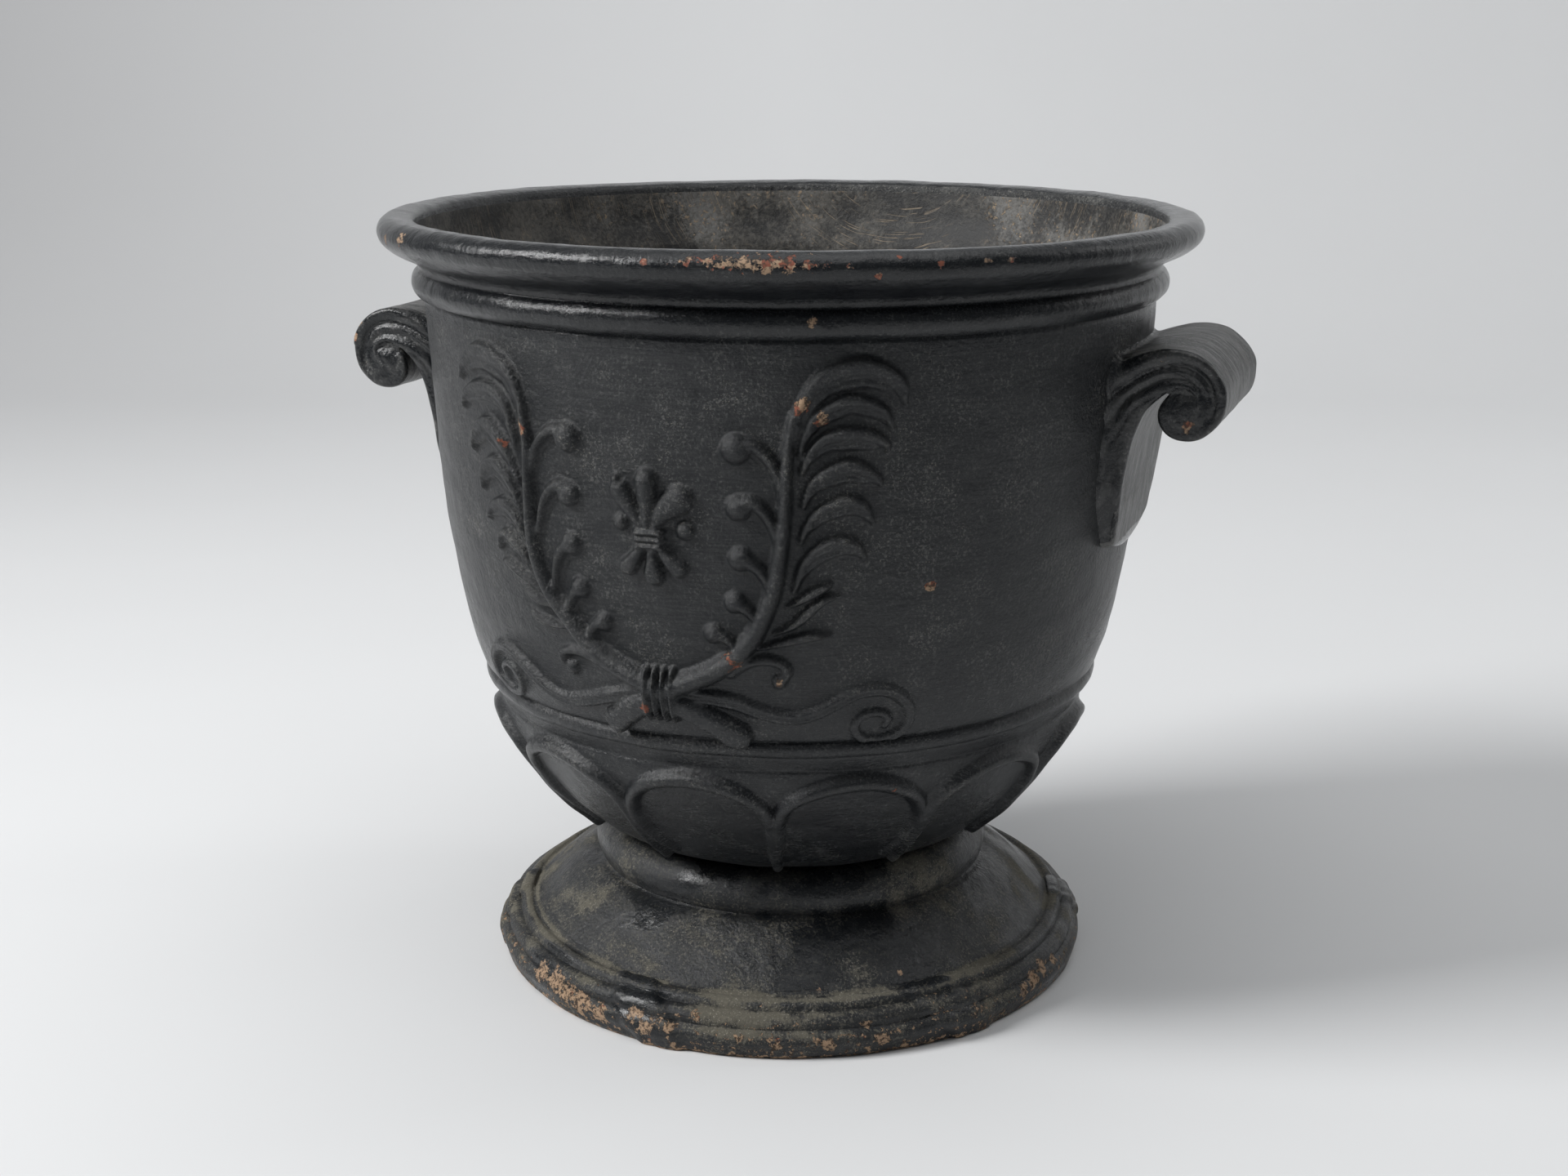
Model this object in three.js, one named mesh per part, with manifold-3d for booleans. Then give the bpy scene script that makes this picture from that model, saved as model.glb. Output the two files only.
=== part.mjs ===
// A two-handled garden urn planter in painted cast iron. The bowl stands on a hollow foot and is
// bolted to it through the middle. A scroll handle is held to each side of the bowl by two studs,
// with their washers and nuts inside the bowl.
// Millimetres, +Z up. The origin is under the middle of the foot, the handles lie along X, and
// the wreath is on the front (-Y) and the back (+Y).

import * as THREE from "three";
import { mergeVertices } from "three/addons/utils/BufferGeometryUtils.js";
import Module from "manifold-3d";

// ---- whole object
const aroundSteps = 40; // facets round the two turned castings
const boreSides = 12; // facets round a bolt, a stud or a hole
const overallHeight = 457; // floor to the crest of the rim
const paintGap = 0.3; // paint between two castings, and under each washer and nut
const boreClearance = 0.5; // between a bolt or stud and its hole, on the radius

// ---- bowl
const wallTopRadius = 214.3; // outside of the wall, under the bead
const rimOverhang = 25.7; // how far the rolled rim stands out past that
const rimRoll = 9; // radius of the roll's section
const mouthFlare = 4.7; // inner edge of the rim, past the wall's top
const coveHeight = 13.5; // hollow between the roll and the bead
const beadProud = 6.7; // how far the bead stands out past the wall
const beadRoll = 6.5; // radius of the bead's section
const filletHeight = 4; // between the bead and the wall
const wallThickness = 9;
const wallTaper = 27.3; // how much narrower the band is than the wall's top
const wallSwell = 2.3; // the wall's curve is drawn towards a place this far inside its top
const wallSwellDrop = 146; // and this far below it
const bandRoll = 6.5; // radius of the section of the band round the cup's top
const bandRise = 14; // band's middle above the cup's lip
const cupInset = 9; // how much narrower the cup's lip is than the band
const cupHeight = 84; // lip above the bowl's seat
const lipEdge = 4; // height of the lip's edge
const seatRadius = 105; // flat ring that the bowl stands on
const floorThickness = 12;
const spigotRadius = 58; // round boss under the bowl that centres it in the foot
const spigotDepth = 4;
const drainRadius = 9;
const bossRise = 2; // flat boss on the bowl's floor, under the bolt's washer
const drainCount = 3;

// ---- foot
const footHeight = 86; // floor to the face that carries the bowl
const plinthSpread = 78.4; // outside of the reeded plinth, past the bowl's seat
const plinthReed = 6; // radius of one reed's section
const reedCount = 3;
const reedStepIn = 7; // each reed's middle lies this much further in
const reedStepUp = 7.2; // and this much higher than the one below
const flareSwell = 9; // how far the flare bulges past a straight cone
const collarProud = 15; // outside of the rounded collar, past the bowl's seat
const collarRoll = 11; // radius of the collar's section
const collarNeck = 2.5; // neck between the collar and the bowl
const footWall = 13;
const rimFlat = 13; // width of the flat ring that stands on the floor
const plateThickness = 12; // bridge plate across the foot's top
const ribbonCount = 6; // ribbons wound aslant over the reeds
const ribbonTurn = -8; // degrees from the front to the middle of the first ribbon
const ribbonSlant = 2.5; // degrees that a ribbon's two ends lie to either side of its middle
const ribbonHalfWidth = 13;
const ribbonRise = 1.6;

// ---- handles; reaches are measured from the bowl's wall beside them
const handleWidth = 113; // across the two carved sides
const sideRib = 3.4; // radius of the ribs on the carved sides
const eyeDrop = 99.5; // scroll eye below the rim's crest
const eyeReach = 32.5;
const eyeRadius = 13;
const scrollTop = 36; // scroll's outer turn above the eye
const scrollShrink = 0.62; // how much of that is left after each quarter turn
const armRise = 31; // arm's upper face above the eye, where it leaves the wall
const consoleDrop = 76; // tip of the console below the eye
const consoleTipReach = 2.5; // console's face at the tip
const consoleTopReach = 8.5; // and under the scroll
const cleftReach = 17.5; // top of the cleft between the console and the eye
const cleftRise = 8; // and how far that is above the eye

// ---- fasteners
const studRadius = 5;
const studRise = 20.5; // a handle's two studs, above its eye
const studSpread = 60; // between them
const studGrip = 14; // depth of a stud in its handle
const padRadius = 17; // flat pads inside the bowl, under the washers
const padRise = 5; // pad's face inside the wall's inner face
const nutFlats = 8.5; // half of a nut's width over its flats
const nutHeight = 8;
const studWasherRadius = 12;
const studWasherHeight = 2.5;
const threadShows = 3; // thread past a nut
const boltRadius = 8;
const boltFlats = 13;
const boltHeadHeight = 10;
const boltWasherRadius = 22;
const boltWasherHeight = 3;

// ---- wreath, in degrees from its middle and millimetres above its tie
const tieRise = 34; // tie above the middle of the band
const stemPoints = [[-9, -20], [0, 0], [9.7, 21], [17.5, 53], [20.2, 102], [21.7, 159], [24.4, 178]];
const leafTips = [[36.4, 159], [35.4, 144], [34.2, 127], [32.6, 108], [31.6, 89], [29.6, 69],
  [27.2, 53], [25.6, 37]];
const leafArch = 19; // how far the top leaf rises over its tip
const leafHalfWidth = 6;
const berries = [[12.8, 138, 8], [13.1, 107, 7], [13.2, 80, 6.5], [12.3, 56, 6], [8.9, 38, 5.5]];
const stemHalfWidth = 5;
const tendrilPoints = [[4, 0], [15.7, -9], [23.6, -9], [33.8, 8], [39.8, -2], [38.6, -26],
  [31, -23], [30.5, -10], [35.4, -9]];
const tendrilHalfWidth = 3;
const reliefRise = 3.6; // usual height of the carving over the wall
const tieWraps = [-1.9, 0, 1.9];
const tieReach = 14; // half of a wrap's length
const palmetteHeight = 93; // middle of the small palmette above the tie
const palmettePetals = 5;
const petalLength = 32;

// ---- cup lobes, in degrees along a lobe and millimetres from the cup's lip
const lobeCount = 12;
const lobeTurn = 17; // degrees from the front to the dart between two lobes
const lobePoints = [[0.4, -27], [2.5, -19], [13, -5.5], [23, -10], [29.2, -31], [27.6, -47], [22, -66]];
const dartFoot = -72; // lower end of the dart
const lobeHalfWidth = 4.4;

// ---- finishes
const ironPaint = { color: 0x25272a, roughness: 0.5, metalness: 0.25 };
const oldSteel = { color: 0x4b443d, roughness: 0.75, metalness: 0.7 };

const manifold = await Module();
manifold.setup();

// ---------------------------------------------------------------- solids

// The closed solid that a geometry bounds, whichever way round its faces were listed.
function solid(geometry) {
  const bare = new THREE.BufferGeometry();
  bare.setAttribute("position", geometry.attributes.position.clone());
  if (geometry.index) bare.setIndex(geometry.index.clone());
  const merged = mergeVertices(bare, 1e-4);
  const corners = merged.index.array;
  const faces = [];
  for (let i = 0; i < corners.length; i += 3) {
    const [a, b, c] = [corners[i], corners[i + 1], corners[i + 2]];
    if (a !== b && b !== c && c !== a) faces.push(a, b, c);
  }
  const make = (list) => new manifold.Manifold(new manifold.Mesh({
    numProp: 3,
    vertProperties: new Float32Array(merged.attributes.position.array),
    triVerts: new Uint32Array(list),
  }));
  const made = make(faces);
  if (made.volume() > 0) return made;
  const flipped = [];
  for (let i = 0; i < faces.length; i += 3) flipped.push(faces[i], faces[i + 2], faces[i + 1]);
  return make(flipped);
}

function geometryOf(body) {
  const mesh = body.getMesh();
  const geometry = new THREE.BufferGeometry();
  geometry.setAttribute("position", new THREE.BufferAttribute(mesh.vertProperties, 3));
  geometry.setIndex(new THREE.BufferAttribute(mesh.triVerts, 1));
  return geometry;
}

function piece(name, body, finish) {
  const material = new THREE.MeshStandardMaterial(finish);
  const mesh = new THREE.Mesh(geometryOf(body), material);
  mesh.name = name;
  return mesh;
}

// A closed outline of [radius, height] points, turned round the Z axis.
function turned(outline, steps) {
  const points = outline.map(([radius, height]) => new THREE.Vector2(radius, height));
  points.push(points[0].clone());
  const lathe = new THREE.LatheGeometry(points, steps);
  lathe.rotateX(Math.PI / 2);
  return solid(lathe);
}

// A cylinder or prism between two points.
function rod(from, to, radius, sides) {
  const along = new THREE.Vector3().subVectors(to, from);
  const geometry = new THREE.CylinderGeometry(radius, radius, along.length(), sides);
  const turn = new THREE.Quaternion().setFromUnitVectors(
    new THREE.Vector3(0, 1, 0), along.clone().normalize());
  geometry.applyQuaternion(turn);
  const middle = new THREE.Vector3().addVectors(from, to).multiplyScalar(0.5);
  geometry.translate(middle.x, middle.y, middle.z);
  return solid(geometry);
}

// A carved strand: rings of `sides` corners that follow points lying on a surface. Each place is
// { at, out }: the point and the direction that points out of the surface there. The ring is
// width(t) wide each way along the surface and rise(t) high each way out of it.
function strand(places, width, rise, sides) {
  const corners = [];
  const last = places.length - 1;
  places.forEach(({ at, out }, i) => {
    const ahead = places[Math.min(i + 1, last)].at;
    const behind = places[Math.max(i - 1, 0)].at;
    const across = new THREE.Vector3().subVectors(ahead, behind).cross(out).normalize();
    for (let k = 0; k < sides; k++) {
      const angle = (k / sides + 0.25) * 2 * Math.PI;
      const corner = at.clone()
        .addScaledVector(across, Math.cos(angle) * width(i / last))
        .addScaledVector(out, Math.sin(angle) * rise(i / last));
      corners.push(corner.x, corner.y, corner.z);
    }
  });
  const faces = [];
  for (let i = 0; i < last; i++) {
    for (let k = 0; k < sides; k++) {
      const a = i * sides + k;
      const b = i * sides + ((k + 1) % sides);
      faces.push(a, b, b + sides, a, b + sides, a + sides);
    }
  }
  for (let k = 1; k < sides - 1; k++) {
    faces.push(0, k + 1, k);
    faces.push(last * sides, last * sides + k, last * sides + k + 1);
  }
  const geometry = new THREE.BufferGeometry();
  geometry.setAttribute("position", new THREE.BufferAttribute(new Float32Array(corners), 3));
  geometry.setIndex(faces);
  return solid(geometry);
}

// ---------------------------------------------------------------- outlines

// Points on an arc round [radius, height], from one angle to another in degrees.
function arc([radius, height], size, from, to, steps) {
  return Array.from({ length: steps + 1 }, (_, i) => {
    const angle = THREE.MathUtils.degToRad(from + ((to - from) * i) / steps);
    return [radius + size * Math.cos(angle), height + size * Math.sin(angle)];
  });
}

function curvePoints(curve, steps) {
  return curve.getPoints(steps).map((point) => [point.x, point.y]);
}

const vector = ([x, y]) => new THREE.Vector2(x, y);

// An outline moved sideways: to the left of its own direction by a distance.
function offset(outline, distance) {
  return outline.map(([radius, height], i) => {
    const [r0, z0] = outline[Math.max(i - 1, 0)];
    const [r1, z1] = outline[Math.min(i + 1, outline.length - 1)];
    const length = Math.hypot(r1 - r0, z1 - z0);
    return [radius - (distance * (z1 - z0)) / length, height + (distance * (r1 - r0)) / length];
  });
}

// Radius of an outline at a height, along straight lines between its points.
function radiusAt(outline, height) {
  const above = outline.findIndex(([, z]) => z >= height);
  if (above < 0) return outline[outline.length - 1][0];
  if (above === 0) return outline[0][0];
  const [r0, z0] = outline[above - 1];
  const [r1, z1] = outline[above];
  return r0 + ((r1 - r0) * (height - z0)) / (z1 - z0);
}

const bowlSeat = footHeight + paintGap;
const rimMiddle = overallHeight - rimRoll;
const beadMiddle = rimMiddle - rimRoll - coveHeight - beadRoll;
const wallTop = beadMiddle - beadRoll - filletHeight;
const lipHeight = bowlSeat + cupHeight;
const bandMiddle = lipHeight + bandRise;
const floorTop = bowlSeat + floorThickness;
const bossTop = floorTop + bossRise;
const bossRadius = boltWasherRadius + 2 * bossRise;
const bandRadius = wallTopRadius - wallTaper;
const cupRadius = bandRadius - cupInset;
const eyeHeight = overallHeight - eyeDrop;
const studHeight = eyeHeight + studRise;
const cupSteps = 4;
const wallSteps = 4;

function wallCurve(steps) {
  return curvePoints(new THREE.QuadraticBezierCurve(
    vector([bandRadius - bandRoll / 3, bandMiddle + bandRoll + 1]),
    vector([wallTopRadius - wallSwell, wallTop - wallSwellDrop]),
    vector([wallTopRadius, wallTop]),
  ), steps);
}

function cupCurve(steps) {
  return curvePoints(new THREE.CubicBezierCurve(
    vector([seatRadius, bowlSeat]),
    vector([seatRadius + cupHeight / 3, bowlSeat + cupHeight / 10]),
    vector([cupRadius - cupHeight / 17, lipHeight - cupHeight / 3.5]),
    vector([cupRadius, lipHeight]),
  ), steps);
}

// The bowl's skin without its mouldings, for what is carved on it or cut to it.
const skin = [...cupCurve(cupSteps), ...wallCurve(wallSteps)];

const floorFillet = 4;
const innerWall = [...offset(cupCurve(cupSteps), wallThickness), ...offset(wallCurve(3), wallThickness)]
  .filter(([, height]) => height > floorTop + floorFillet);

function bowlOutline() {
  const rollCentre = [wallTopRadius + rimOverhang - rimRoll, rimMiddle];
  const beadRadius = wallTopRadius + beadProud;
  const mouthRadius = wallTopRadius + mouthFlare;
  return [
    [boltRadius + boreClearance, bowlSeat - spigotDepth],
    [spigotRadius, bowlSeat - spigotDepth],
    [spigotRadius, bowlSeat],
    ...cupCurve(cupSteps),
    [cupRadius + 1, lipHeight + lipEdge],
    ...arc([bandRadius - bandRoll, bandMiddle], bandRoll, -60, 60, 2),
    ...wallCurve(wallSteps),
    ...arc([beadRadius - beadRoll, beadMiddle], beadRoll, -75, 75, 2),
    [beadRadius - 1, beadMiddle + beadRoll + coveHeight / 3],
    ...arc(rollCentre, rimRoll, -120, 90, 5),
    [mouthRadius + 3, overallHeight - 2],
    [mouthRadius - 1, overallHeight - rimRoll],
    [mouthRadius - 8, rimMiddle - rimRoll - coveHeight],
    ...innerWall.slice().reverse(),
    [innerWall[0][0] - 2 * floorFillet, floorTop],
    [bossRadius + bossRise, floorTop],
    [bossRadius, bossTop],
    [boltRadius + boreClearance, bossTop],
  ];
}

const plinthRadius = seatRadius + plinthSpread;
const collarRadius = seatRadius + collarProud;

function footOutline() {
  const collarMiddle = footHeight - collarNeck - collarRoll;
  const reeds = [];
  for (let i = 0; i < reedCount; i++) {
    const middle = [plinthRadius - plinthReed - i * reedStepIn, plinthReed + 1 + i * reedStepUp];
    reeds.push(...arc(middle, plinthReed, i === 0 ? -60 : 0, 75, 2));
  }
  const flareFoot = reeds[reeds.length - 1];
  const flareTop = [collarRadius + 1, collarMiddle - collarRoll];
  const flareMiddle = [(flareFoot[0] + flareTop[0]) / 2, (flareFoot[1] + flareTop[1]) / 2];
  const flare = curvePoints(new THREE.QuadraticBezierCurve(
    vector([flareFoot[0] - 2, flareFoot[1]]),
    vector([flareMiddle[0] + flareSwell, flareMiddle[1] + flareSwell]),
    vector(flareTop),
  ), 3);
  const plateUnder = footHeight - plateThickness;
  const socketFloor = footHeight - spigotDepth - paintGap;
  return [
    [plinthRadius - 2, 0],
    ...reeds,
    ...flare,
    ...arc([collarRadius - collarRoll, collarMiddle], collarRoll, -65, 60, 3),
    [seatRadius, footHeight - collarNeck / 2],
    [seatRadius, footHeight],
    [spigotRadius + paintGap, footHeight],
    [spigotRadius + paintGap, socketFloor],
    [boltRadius + boreClearance, socketFloor],
    [boltRadius + boreClearance, plateUnder],
    [seatRadius - 1.5 * footWall, plateUnder],
    [collarRadius - 1.5 * footWall, collarMiddle - collarRoll],
    [plinthRadius - 2 * rimFlat, flareFoot[1] - footWall],
    [plinthRadius - rimFlat, 0],
  ];
}

// ---------------------------------------------------------------- carving on the bowl

// A place on the bowl's skin, by degrees from the front and height above the floor.
function onSkin(degrees, height) {
  const step = 1;
  const radius = radiusAt(skin, height);
  const slope = (radiusAt(skin, height + step) - radiusAt(skin, height - step)) / (2 * step);
  const angle = THREE.MathUtils.degToRad(degrees - 90);
  const out = new THREE.Vector3(Math.cos(angle), Math.sin(angle), -slope).normalize();
  const at = new THREE.Vector3(radius * Math.cos(angle), radius * Math.sin(angle), height);
  return { at, out };
}

// Degrees round the skin that make up a distance, at a height.
function degreesAcross(distance, height) {
  return THREE.MathUtils.radToDeg(distance / radiusAt(skin, height));
}

// Places along a smooth line through [degrees, height] points.
function skinLine(points, steps, base, side) {
  const line = new THREE.SplineCurve(points.map(([degrees, height]) => vector([degrees, height])));
  return line.getPoints(steps).map((p) => onSkin(side.turn + side.hand * p.x, base + p.y));
}

const swell = (t) => 0.25 + 0.75 * Math.sin(Math.PI * Math.min(1, 0.15 + 0.85 * t));

function berry(side, base, [degrees, height, radius]) {
  const { at } = onSkin(side.turn + side.hand * degrees, base + height);
  const ball = new THREE.SphereGeometry(radius, 6, 4);
  ball.translate(at.x, at.y, at.z);
  return solid(ball);
}

function leaf(side, base, tip, i) {
  const scale = 1 - i / (1.6 * leafTips.length);
  const stemAngle = Math.min(22, tip[0] - 9);
  const root = [stemAngle - 1.5, tip[1] - 3 - 1.2 * i];
  const apex = [(root[0] + tip[0]) / 2 + 0.5, tip[1] + leafArch * scale * scale];
  const line = skinLine([root, apex, tip], 2, base, side);
  return strand(line, (t) => leafHalfWidth * scale * swell(t), () => reliefRise * 0.8, 4);
}

function branch(side, base) {
  const stem = skinLine(stemPoints, 8, base, side);
  const tendril = skinLine(tendrilPoints, 10, base, side);
  return [
    strand(stem, (t) => stemHalfWidth * (1.1 - 0.6 * t), (t) => reliefRise * (1.5 - 0.6 * t), 4),
    strand(tendril, () => tendrilHalfWidth, () => reliefRise * 0.8, 4),
    ...leafTips.map((tip, i) => leaf(side, base, tip, i)),
    ...berries.map((one) => berry(side, base, one)),
  ];
}

function palmette(side, base) {
  const petals = [];
  for (let i = 0; i < palmettePetals; i++) {
    const lean = THREE.MathUtils.degToRad(-75 + (150 * i) / (palmettePetals - 1));
    const length = petalLength * (0.65 + 0.35 * Math.cos(lean));
    const tip = [degreesAcross(Math.sin(lean) * length, base), Math.cos(lean) * length];
    const line = skinLine([[0, -12], tip], 1, base, side);
    petals.push(strand(line, (t) => 2 + 4 * t, () => reliefRise, 4));
  }
  for (const hand of [-1, 0, 1]) {
    const foot = [degreesAcross((hand * petalLength) / 2, base), -petalLength];
    const line = skinLine([[0, -8], foot], 1, base, side);
    petals.push(strand(line, (t) => 2 + 3 * t, () => reliefRise, 4));
  }
  return petals;
}

function wreath(turn) {
  const base = bandMiddle + tieRise;
  const wraps = tieWraps.map((degrees) => {
    const line = skinLine([[degrees, -tieReach], [degrees, tieReach]], 2, base, { turn, hand: 1 });
    return strand(line, () => tendrilHalfWidth, (t) => 4 + 6 * Math.sin(Math.PI * t), 5);
  });
  return [
    ...branch({ turn, hand: 1 }, base),
    ...branch({ turn, hand: -1 }, base),
    ...wraps,
    ...palmette({ turn, hand: 1 }, base + palmetteHeight),
  ];
}

// Lobes run both ways from a dart on the front and from one on the back.
function lobes() {
  const pitch = 360 / lobeCount;
  const ribs = [];
  for (const start of [lobeTurn, lobeTurn + 180]) {
    for (const hand of [1, -1]) {
      for (let i = 0; i < lobeCount / 4; i++) {
        const side = { turn: start + hand * i * pitch, hand };
        const ring = skinLine(lobePoints, 5, lipHeight, side);
        ribs.push(strand(ring, () => lobeHalfWidth, () => reliefRise, 4));
      }
    }
    const dart = skinLine([[0, dartFoot], [0, lobePoints[1][1]]], 2, lipHeight, { turn: start, hand: 1 });
    ribs.push(strand(dart, () => lobeHalfWidth, () => reliefRise, 4));
  }
  return ribs;
}

// ---------------------------------------------------------------- bowl and foot

// Drain holes lie midway between the bolt's washer and the spigot's edge.
const drainCircle = (boltWasherRadius + spigotRadius) / 2;

// How far out a round wall is, to the side of its widest place.
const chord = (radius, across) => Math.sqrt(radius * radius - across * across);

const studSides = [-studSpread / 2, studSpread / 2];
const padEdge = studSpread / 2 + padRadius;
const wallAtStud = chord(radiusAt(skin, studHeight), studSpread / 2);
// Face of the pads that a handle's washers lie on, from the urn's middle plane.
const padFace = chord(radiusAt(innerWall, studHeight), padEdge) - padRise;

// The two ends of something that lies along a stud.
function alongStud(hand, across, from, to) {
  return [
    new THREE.Vector3(hand * from, hand * across, studHeight),
    new THREE.Vector3(hand * to, hand * across, studHeight),
  ];
}

function bowl() {
  let body = turned(bowlOutline(), aroundSteps);
  const padRoot = chord(radiusAt(skin, studHeight), padEdge) - wallThickness / 6;
  for (const hand of [1, -1]) {
    for (const across of studSides) {
      body = body.add(rod(...alongStud(hand, across, padFace, padRoot), padRadius, boreSides));
    }
  }
  const carving = [...wreath(0), ...wreath(180), ...lobes()];
  for (const strandBody of carving) body = body.add(strandBody);
  for (const hand of [1, -1]) {
    for (const across of studSides) {
      const line = alongStud(hand, across, padFace - padRise, wallAtStud + padRise);
      body = body.subtract(rod(...line, studRadius + boreClearance, boreSides));
    }
  }
  for (const drain of drains(bowlSeat - spigotDepth - 2, floorTop + 2)) body = body.subtract(drain);
  return body;
}

function drains(from, to) {
  return Array.from({ length: drainCount }, (_, i) => {
    const angle = (i / drainCount) * 2 * Math.PI + Math.PI / 2;
    const x = drainCircle * Math.cos(angle);
    const y = drainCircle * Math.sin(angle);
    return rod(new THREE.Vector3(x, y, from), new THREE.Vector3(x, y, to), drainRadius, boreSides);
  });
}

function foot() {
  let body = turned(footOutline(), aroundSteps);
  for (let i = 0; i < ribbonCount; i++) {
    body = body.add(ribbon(ribbonTurn + (i * 360) / ribbonCount));
  }
  for (const drain of drains(footHeight - plateThickness - 2, footHeight + 2)) {
    body = body.subtract(drain);
  }
  return body;
}

// One ribbon wound aslant over the reeds.
function ribbon(turn) {
  const outer = plinthRadius - 1;
  const places = [
    [ribbonSlant, outer, plinthReed + 1],
    [0, outer - reedStepIn - 1, 2.5 * reedStepUp],
    [-ribbonSlant, outer - (reedCount - 1) * reedStepIn - 4, (reedCount + 0.4) * reedStepUp],
  ];
  const line = places.map(([degrees, radius, height]) => {
    const angle = THREE.MathUtils.degToRad(turn + degrees - 90);
    const out = new THREE.Vector3(Math.cos(angle), Math.sin(angle), height / (3 * reedStepUp)).normalize();
    return { at: new THREE.Vector3(radius * Math.cos(angle), radius * Math.sin(angle), height), out };
  });
  return strand(line, () => ribbonHalfWidth, () => ribbonRise, 4);
}

// ---------------------------------------------------------------- handles

const wallBesideEye = radiusAt(skin, eyeHeight);
const eyeX = wallBesideEye + eyeReach;
const tipHeight = eyeHeight - consoleDrop;

// A place on the scroll's outer turn, moved in by inset: angle 90 is over the eye, 0 beside it.
function onScroll(angle, inset = 0) {
  const reach = scrollTop * scrollShrink ** ((90 - angle) / 90) - inset;
  const radians = THREE.MathUtils.degToRad(angle);
  return [eyeX + reach * Math.cos(radians), eyeHeight + reach * Math.sin(radians)];
}

// Outline of a carved side, as [distance from the urn's axis, height above the floor].
function handleOutline() {
  const wallBesideTip = radiusAt(skin, tipHeight);
  const inside = chord(wallBesideTip, handleWidth / 2) - wallThickness;
  const turn = [];
  for (let angle = 90; angle >= -90; angle -= 20) turn.push(onScroll(angle));
  const face = curvePoints(new THREE.QuadraticBezierCurve(
    vector([wallBesideEye + consoleTopReach + 2.5, eyeHeight]),
    vector([wallBesideEye + consoleTopReach - 4, eyeHeight - consoleDrop / 3.5]),
    vector([wallBesideTip + consoleTipReach, tipHeight + 4]),
  ), 5);
  return [
    [inside, eyeHeight + armRise - 6],
    [eyeX - 1.1 * scrollTop, eyeHeight + armRise],
    [eyeX - 0.55 * scrollTop, eyeHeight + scrollTop - 2],
    ...turn,
    ...arc([eyeX, eyeHeight], eyeRadius, -110, -215, 5),
    [wallBesideEye + cleftReach, eyeHeight + cleftRise],
    ...face,
    [wallBesideTip + consoleTipReach - 5, tipHeight],
    [inside, tipHeight],
  ];
}

// Middle lines of the two ribs on a carved side, from beside the eye over it and down the console.
function ribLines() {
  return [1.3 * sideRib, 3.5 * sideRib].map((inset) => {
    const down = inset - 1.3 * sideRib;
    const points = [0, 22.5, 45, 67.5, 90].map((angle) => onScroll(angle, inset * (1.15 - angle / 600)));
    points.push([eyeX - 0.42 * scrollTop, eyeHeight + scrollTop - 1.5 * inset]);
    points.push([eyeX - 0.78 * scrollTop + down / 3, eyeHeight + 0.89 * scrollTop - 2 * inset]);
    points.push([eyeX - 1.11 * scrollTop + down, eyeHeight + 0.8 * scrollTop - 3.6 * inset]);
    return points;
  });
}

// What the bowl's wall and the paint on it take out of a handle's back.
function wallCutter() {
  const wall = wallCurve(wallSteps).map(([radius, height]) => [radius + paintGap, height]);
  return [[1, wall[0][1]], ...wall, [1, wall[wall.length - 1][1]]];
}

function handle(hand) {
  const outline = handleOutline().map(vector);
  const bodyWidth = handleWidth - 2 * sideRib;
  const extruded = new THREE.ExtrudeGeometry(new THREE.Shape(outline), {
    depth: bodyWidth,
    bevelEnabled: false,
    curveSegments: 1,
  });
  extruded.rotateX(Math.PI / 2);
  extruded.translate(0, bodyWidth / 2, 0);
  let body = solid(extruded);
  for (const side of [-1, 1]) {
    const out = new THREE.Vector3(0, side, 0);
    const face = (side * bodyWidth) / 2;
    for (const line of ribLines()) {
      const curve = new THREE.SplineCurve(line.map(vector));
      const places = curve.getPoints(8).map((p) => ({ at: new THREE.Vector3(p.x, face, p.y), out }));
      body = body.add(strand(places, () => sideRib, () => sideRib, 5));
    }
    const eye = new THREE.SphereGeometry(eyeRadius, 10, 6);
    eye.translate(eyeX, (side * (handleWidth - 1.6 * eyeRadius)) / 2, eyeHeight);
    body = body.add(solid(eye));
  }
  body = body.subtract(turned(wallCutter(), aroundSteps));
  for (const across of studSides) {
    const line = alongStud(1, across, padFace, wallAtStud + studGrip + boreClearance);
    body = body.subtract(rod(...line, studRadius + boreClearance, boreSides));
  }
  return hand > 0 ? body : body.rotate([0, 0, 180]);
}

// ---------------------------------------------------------------- fasteners

// A ring or nut on a line: a prism with a hole along it.
function ring(from, to, radius, hole, sides) {
  const past = new THREE.Vector3().subVectors(to, from).multiplyScalar(0.1);
  const start = from.clone().sub(past);
  const end = to.clone().add(past);
  return rod(from, to, radius, sides).subtract(rod(start, end, hole, boreSides));
}

const hexCorner = (flats) => flats / Math.cos(Math.PI / 6);

function studSet(side, hand) {
  const places = { front: -hand * studSpread / 2, back: hand * studSpread / 2 };
  const washerBack = padFace - paintGap;
  const washerFace = washerBack - studWasherHeight;
  const nutBack = washerFace - paintGap;
  const nutFace = nutBack - nutHeight;
  const hole = studRadius + boreClearance / 2;
  return Object.entries(places).flatMap(([place, across]) => {
    const line = (from, to) => alongStud(hand, across, from, to);
    const stud = rod(...line(nutFace - threadShows, wallAtStud + studGrip), studRadius, boreSides);
    const washer = ring(...line(washerFace, washerBack), studWasherRadius, hole, 16);
    const nut = ring(...line(nutFace, nutBack), hexCorner(nutFlats), hole, 6);
    return [
      piece(`${side}_${place}_stud`, stud, oldSteel),
      piece(`${side}_${place}_washer`, washer, oldSteel),
      piece(`${side}_${place}_nut`, nut, oldSteel),
    ];
  });
}

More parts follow.
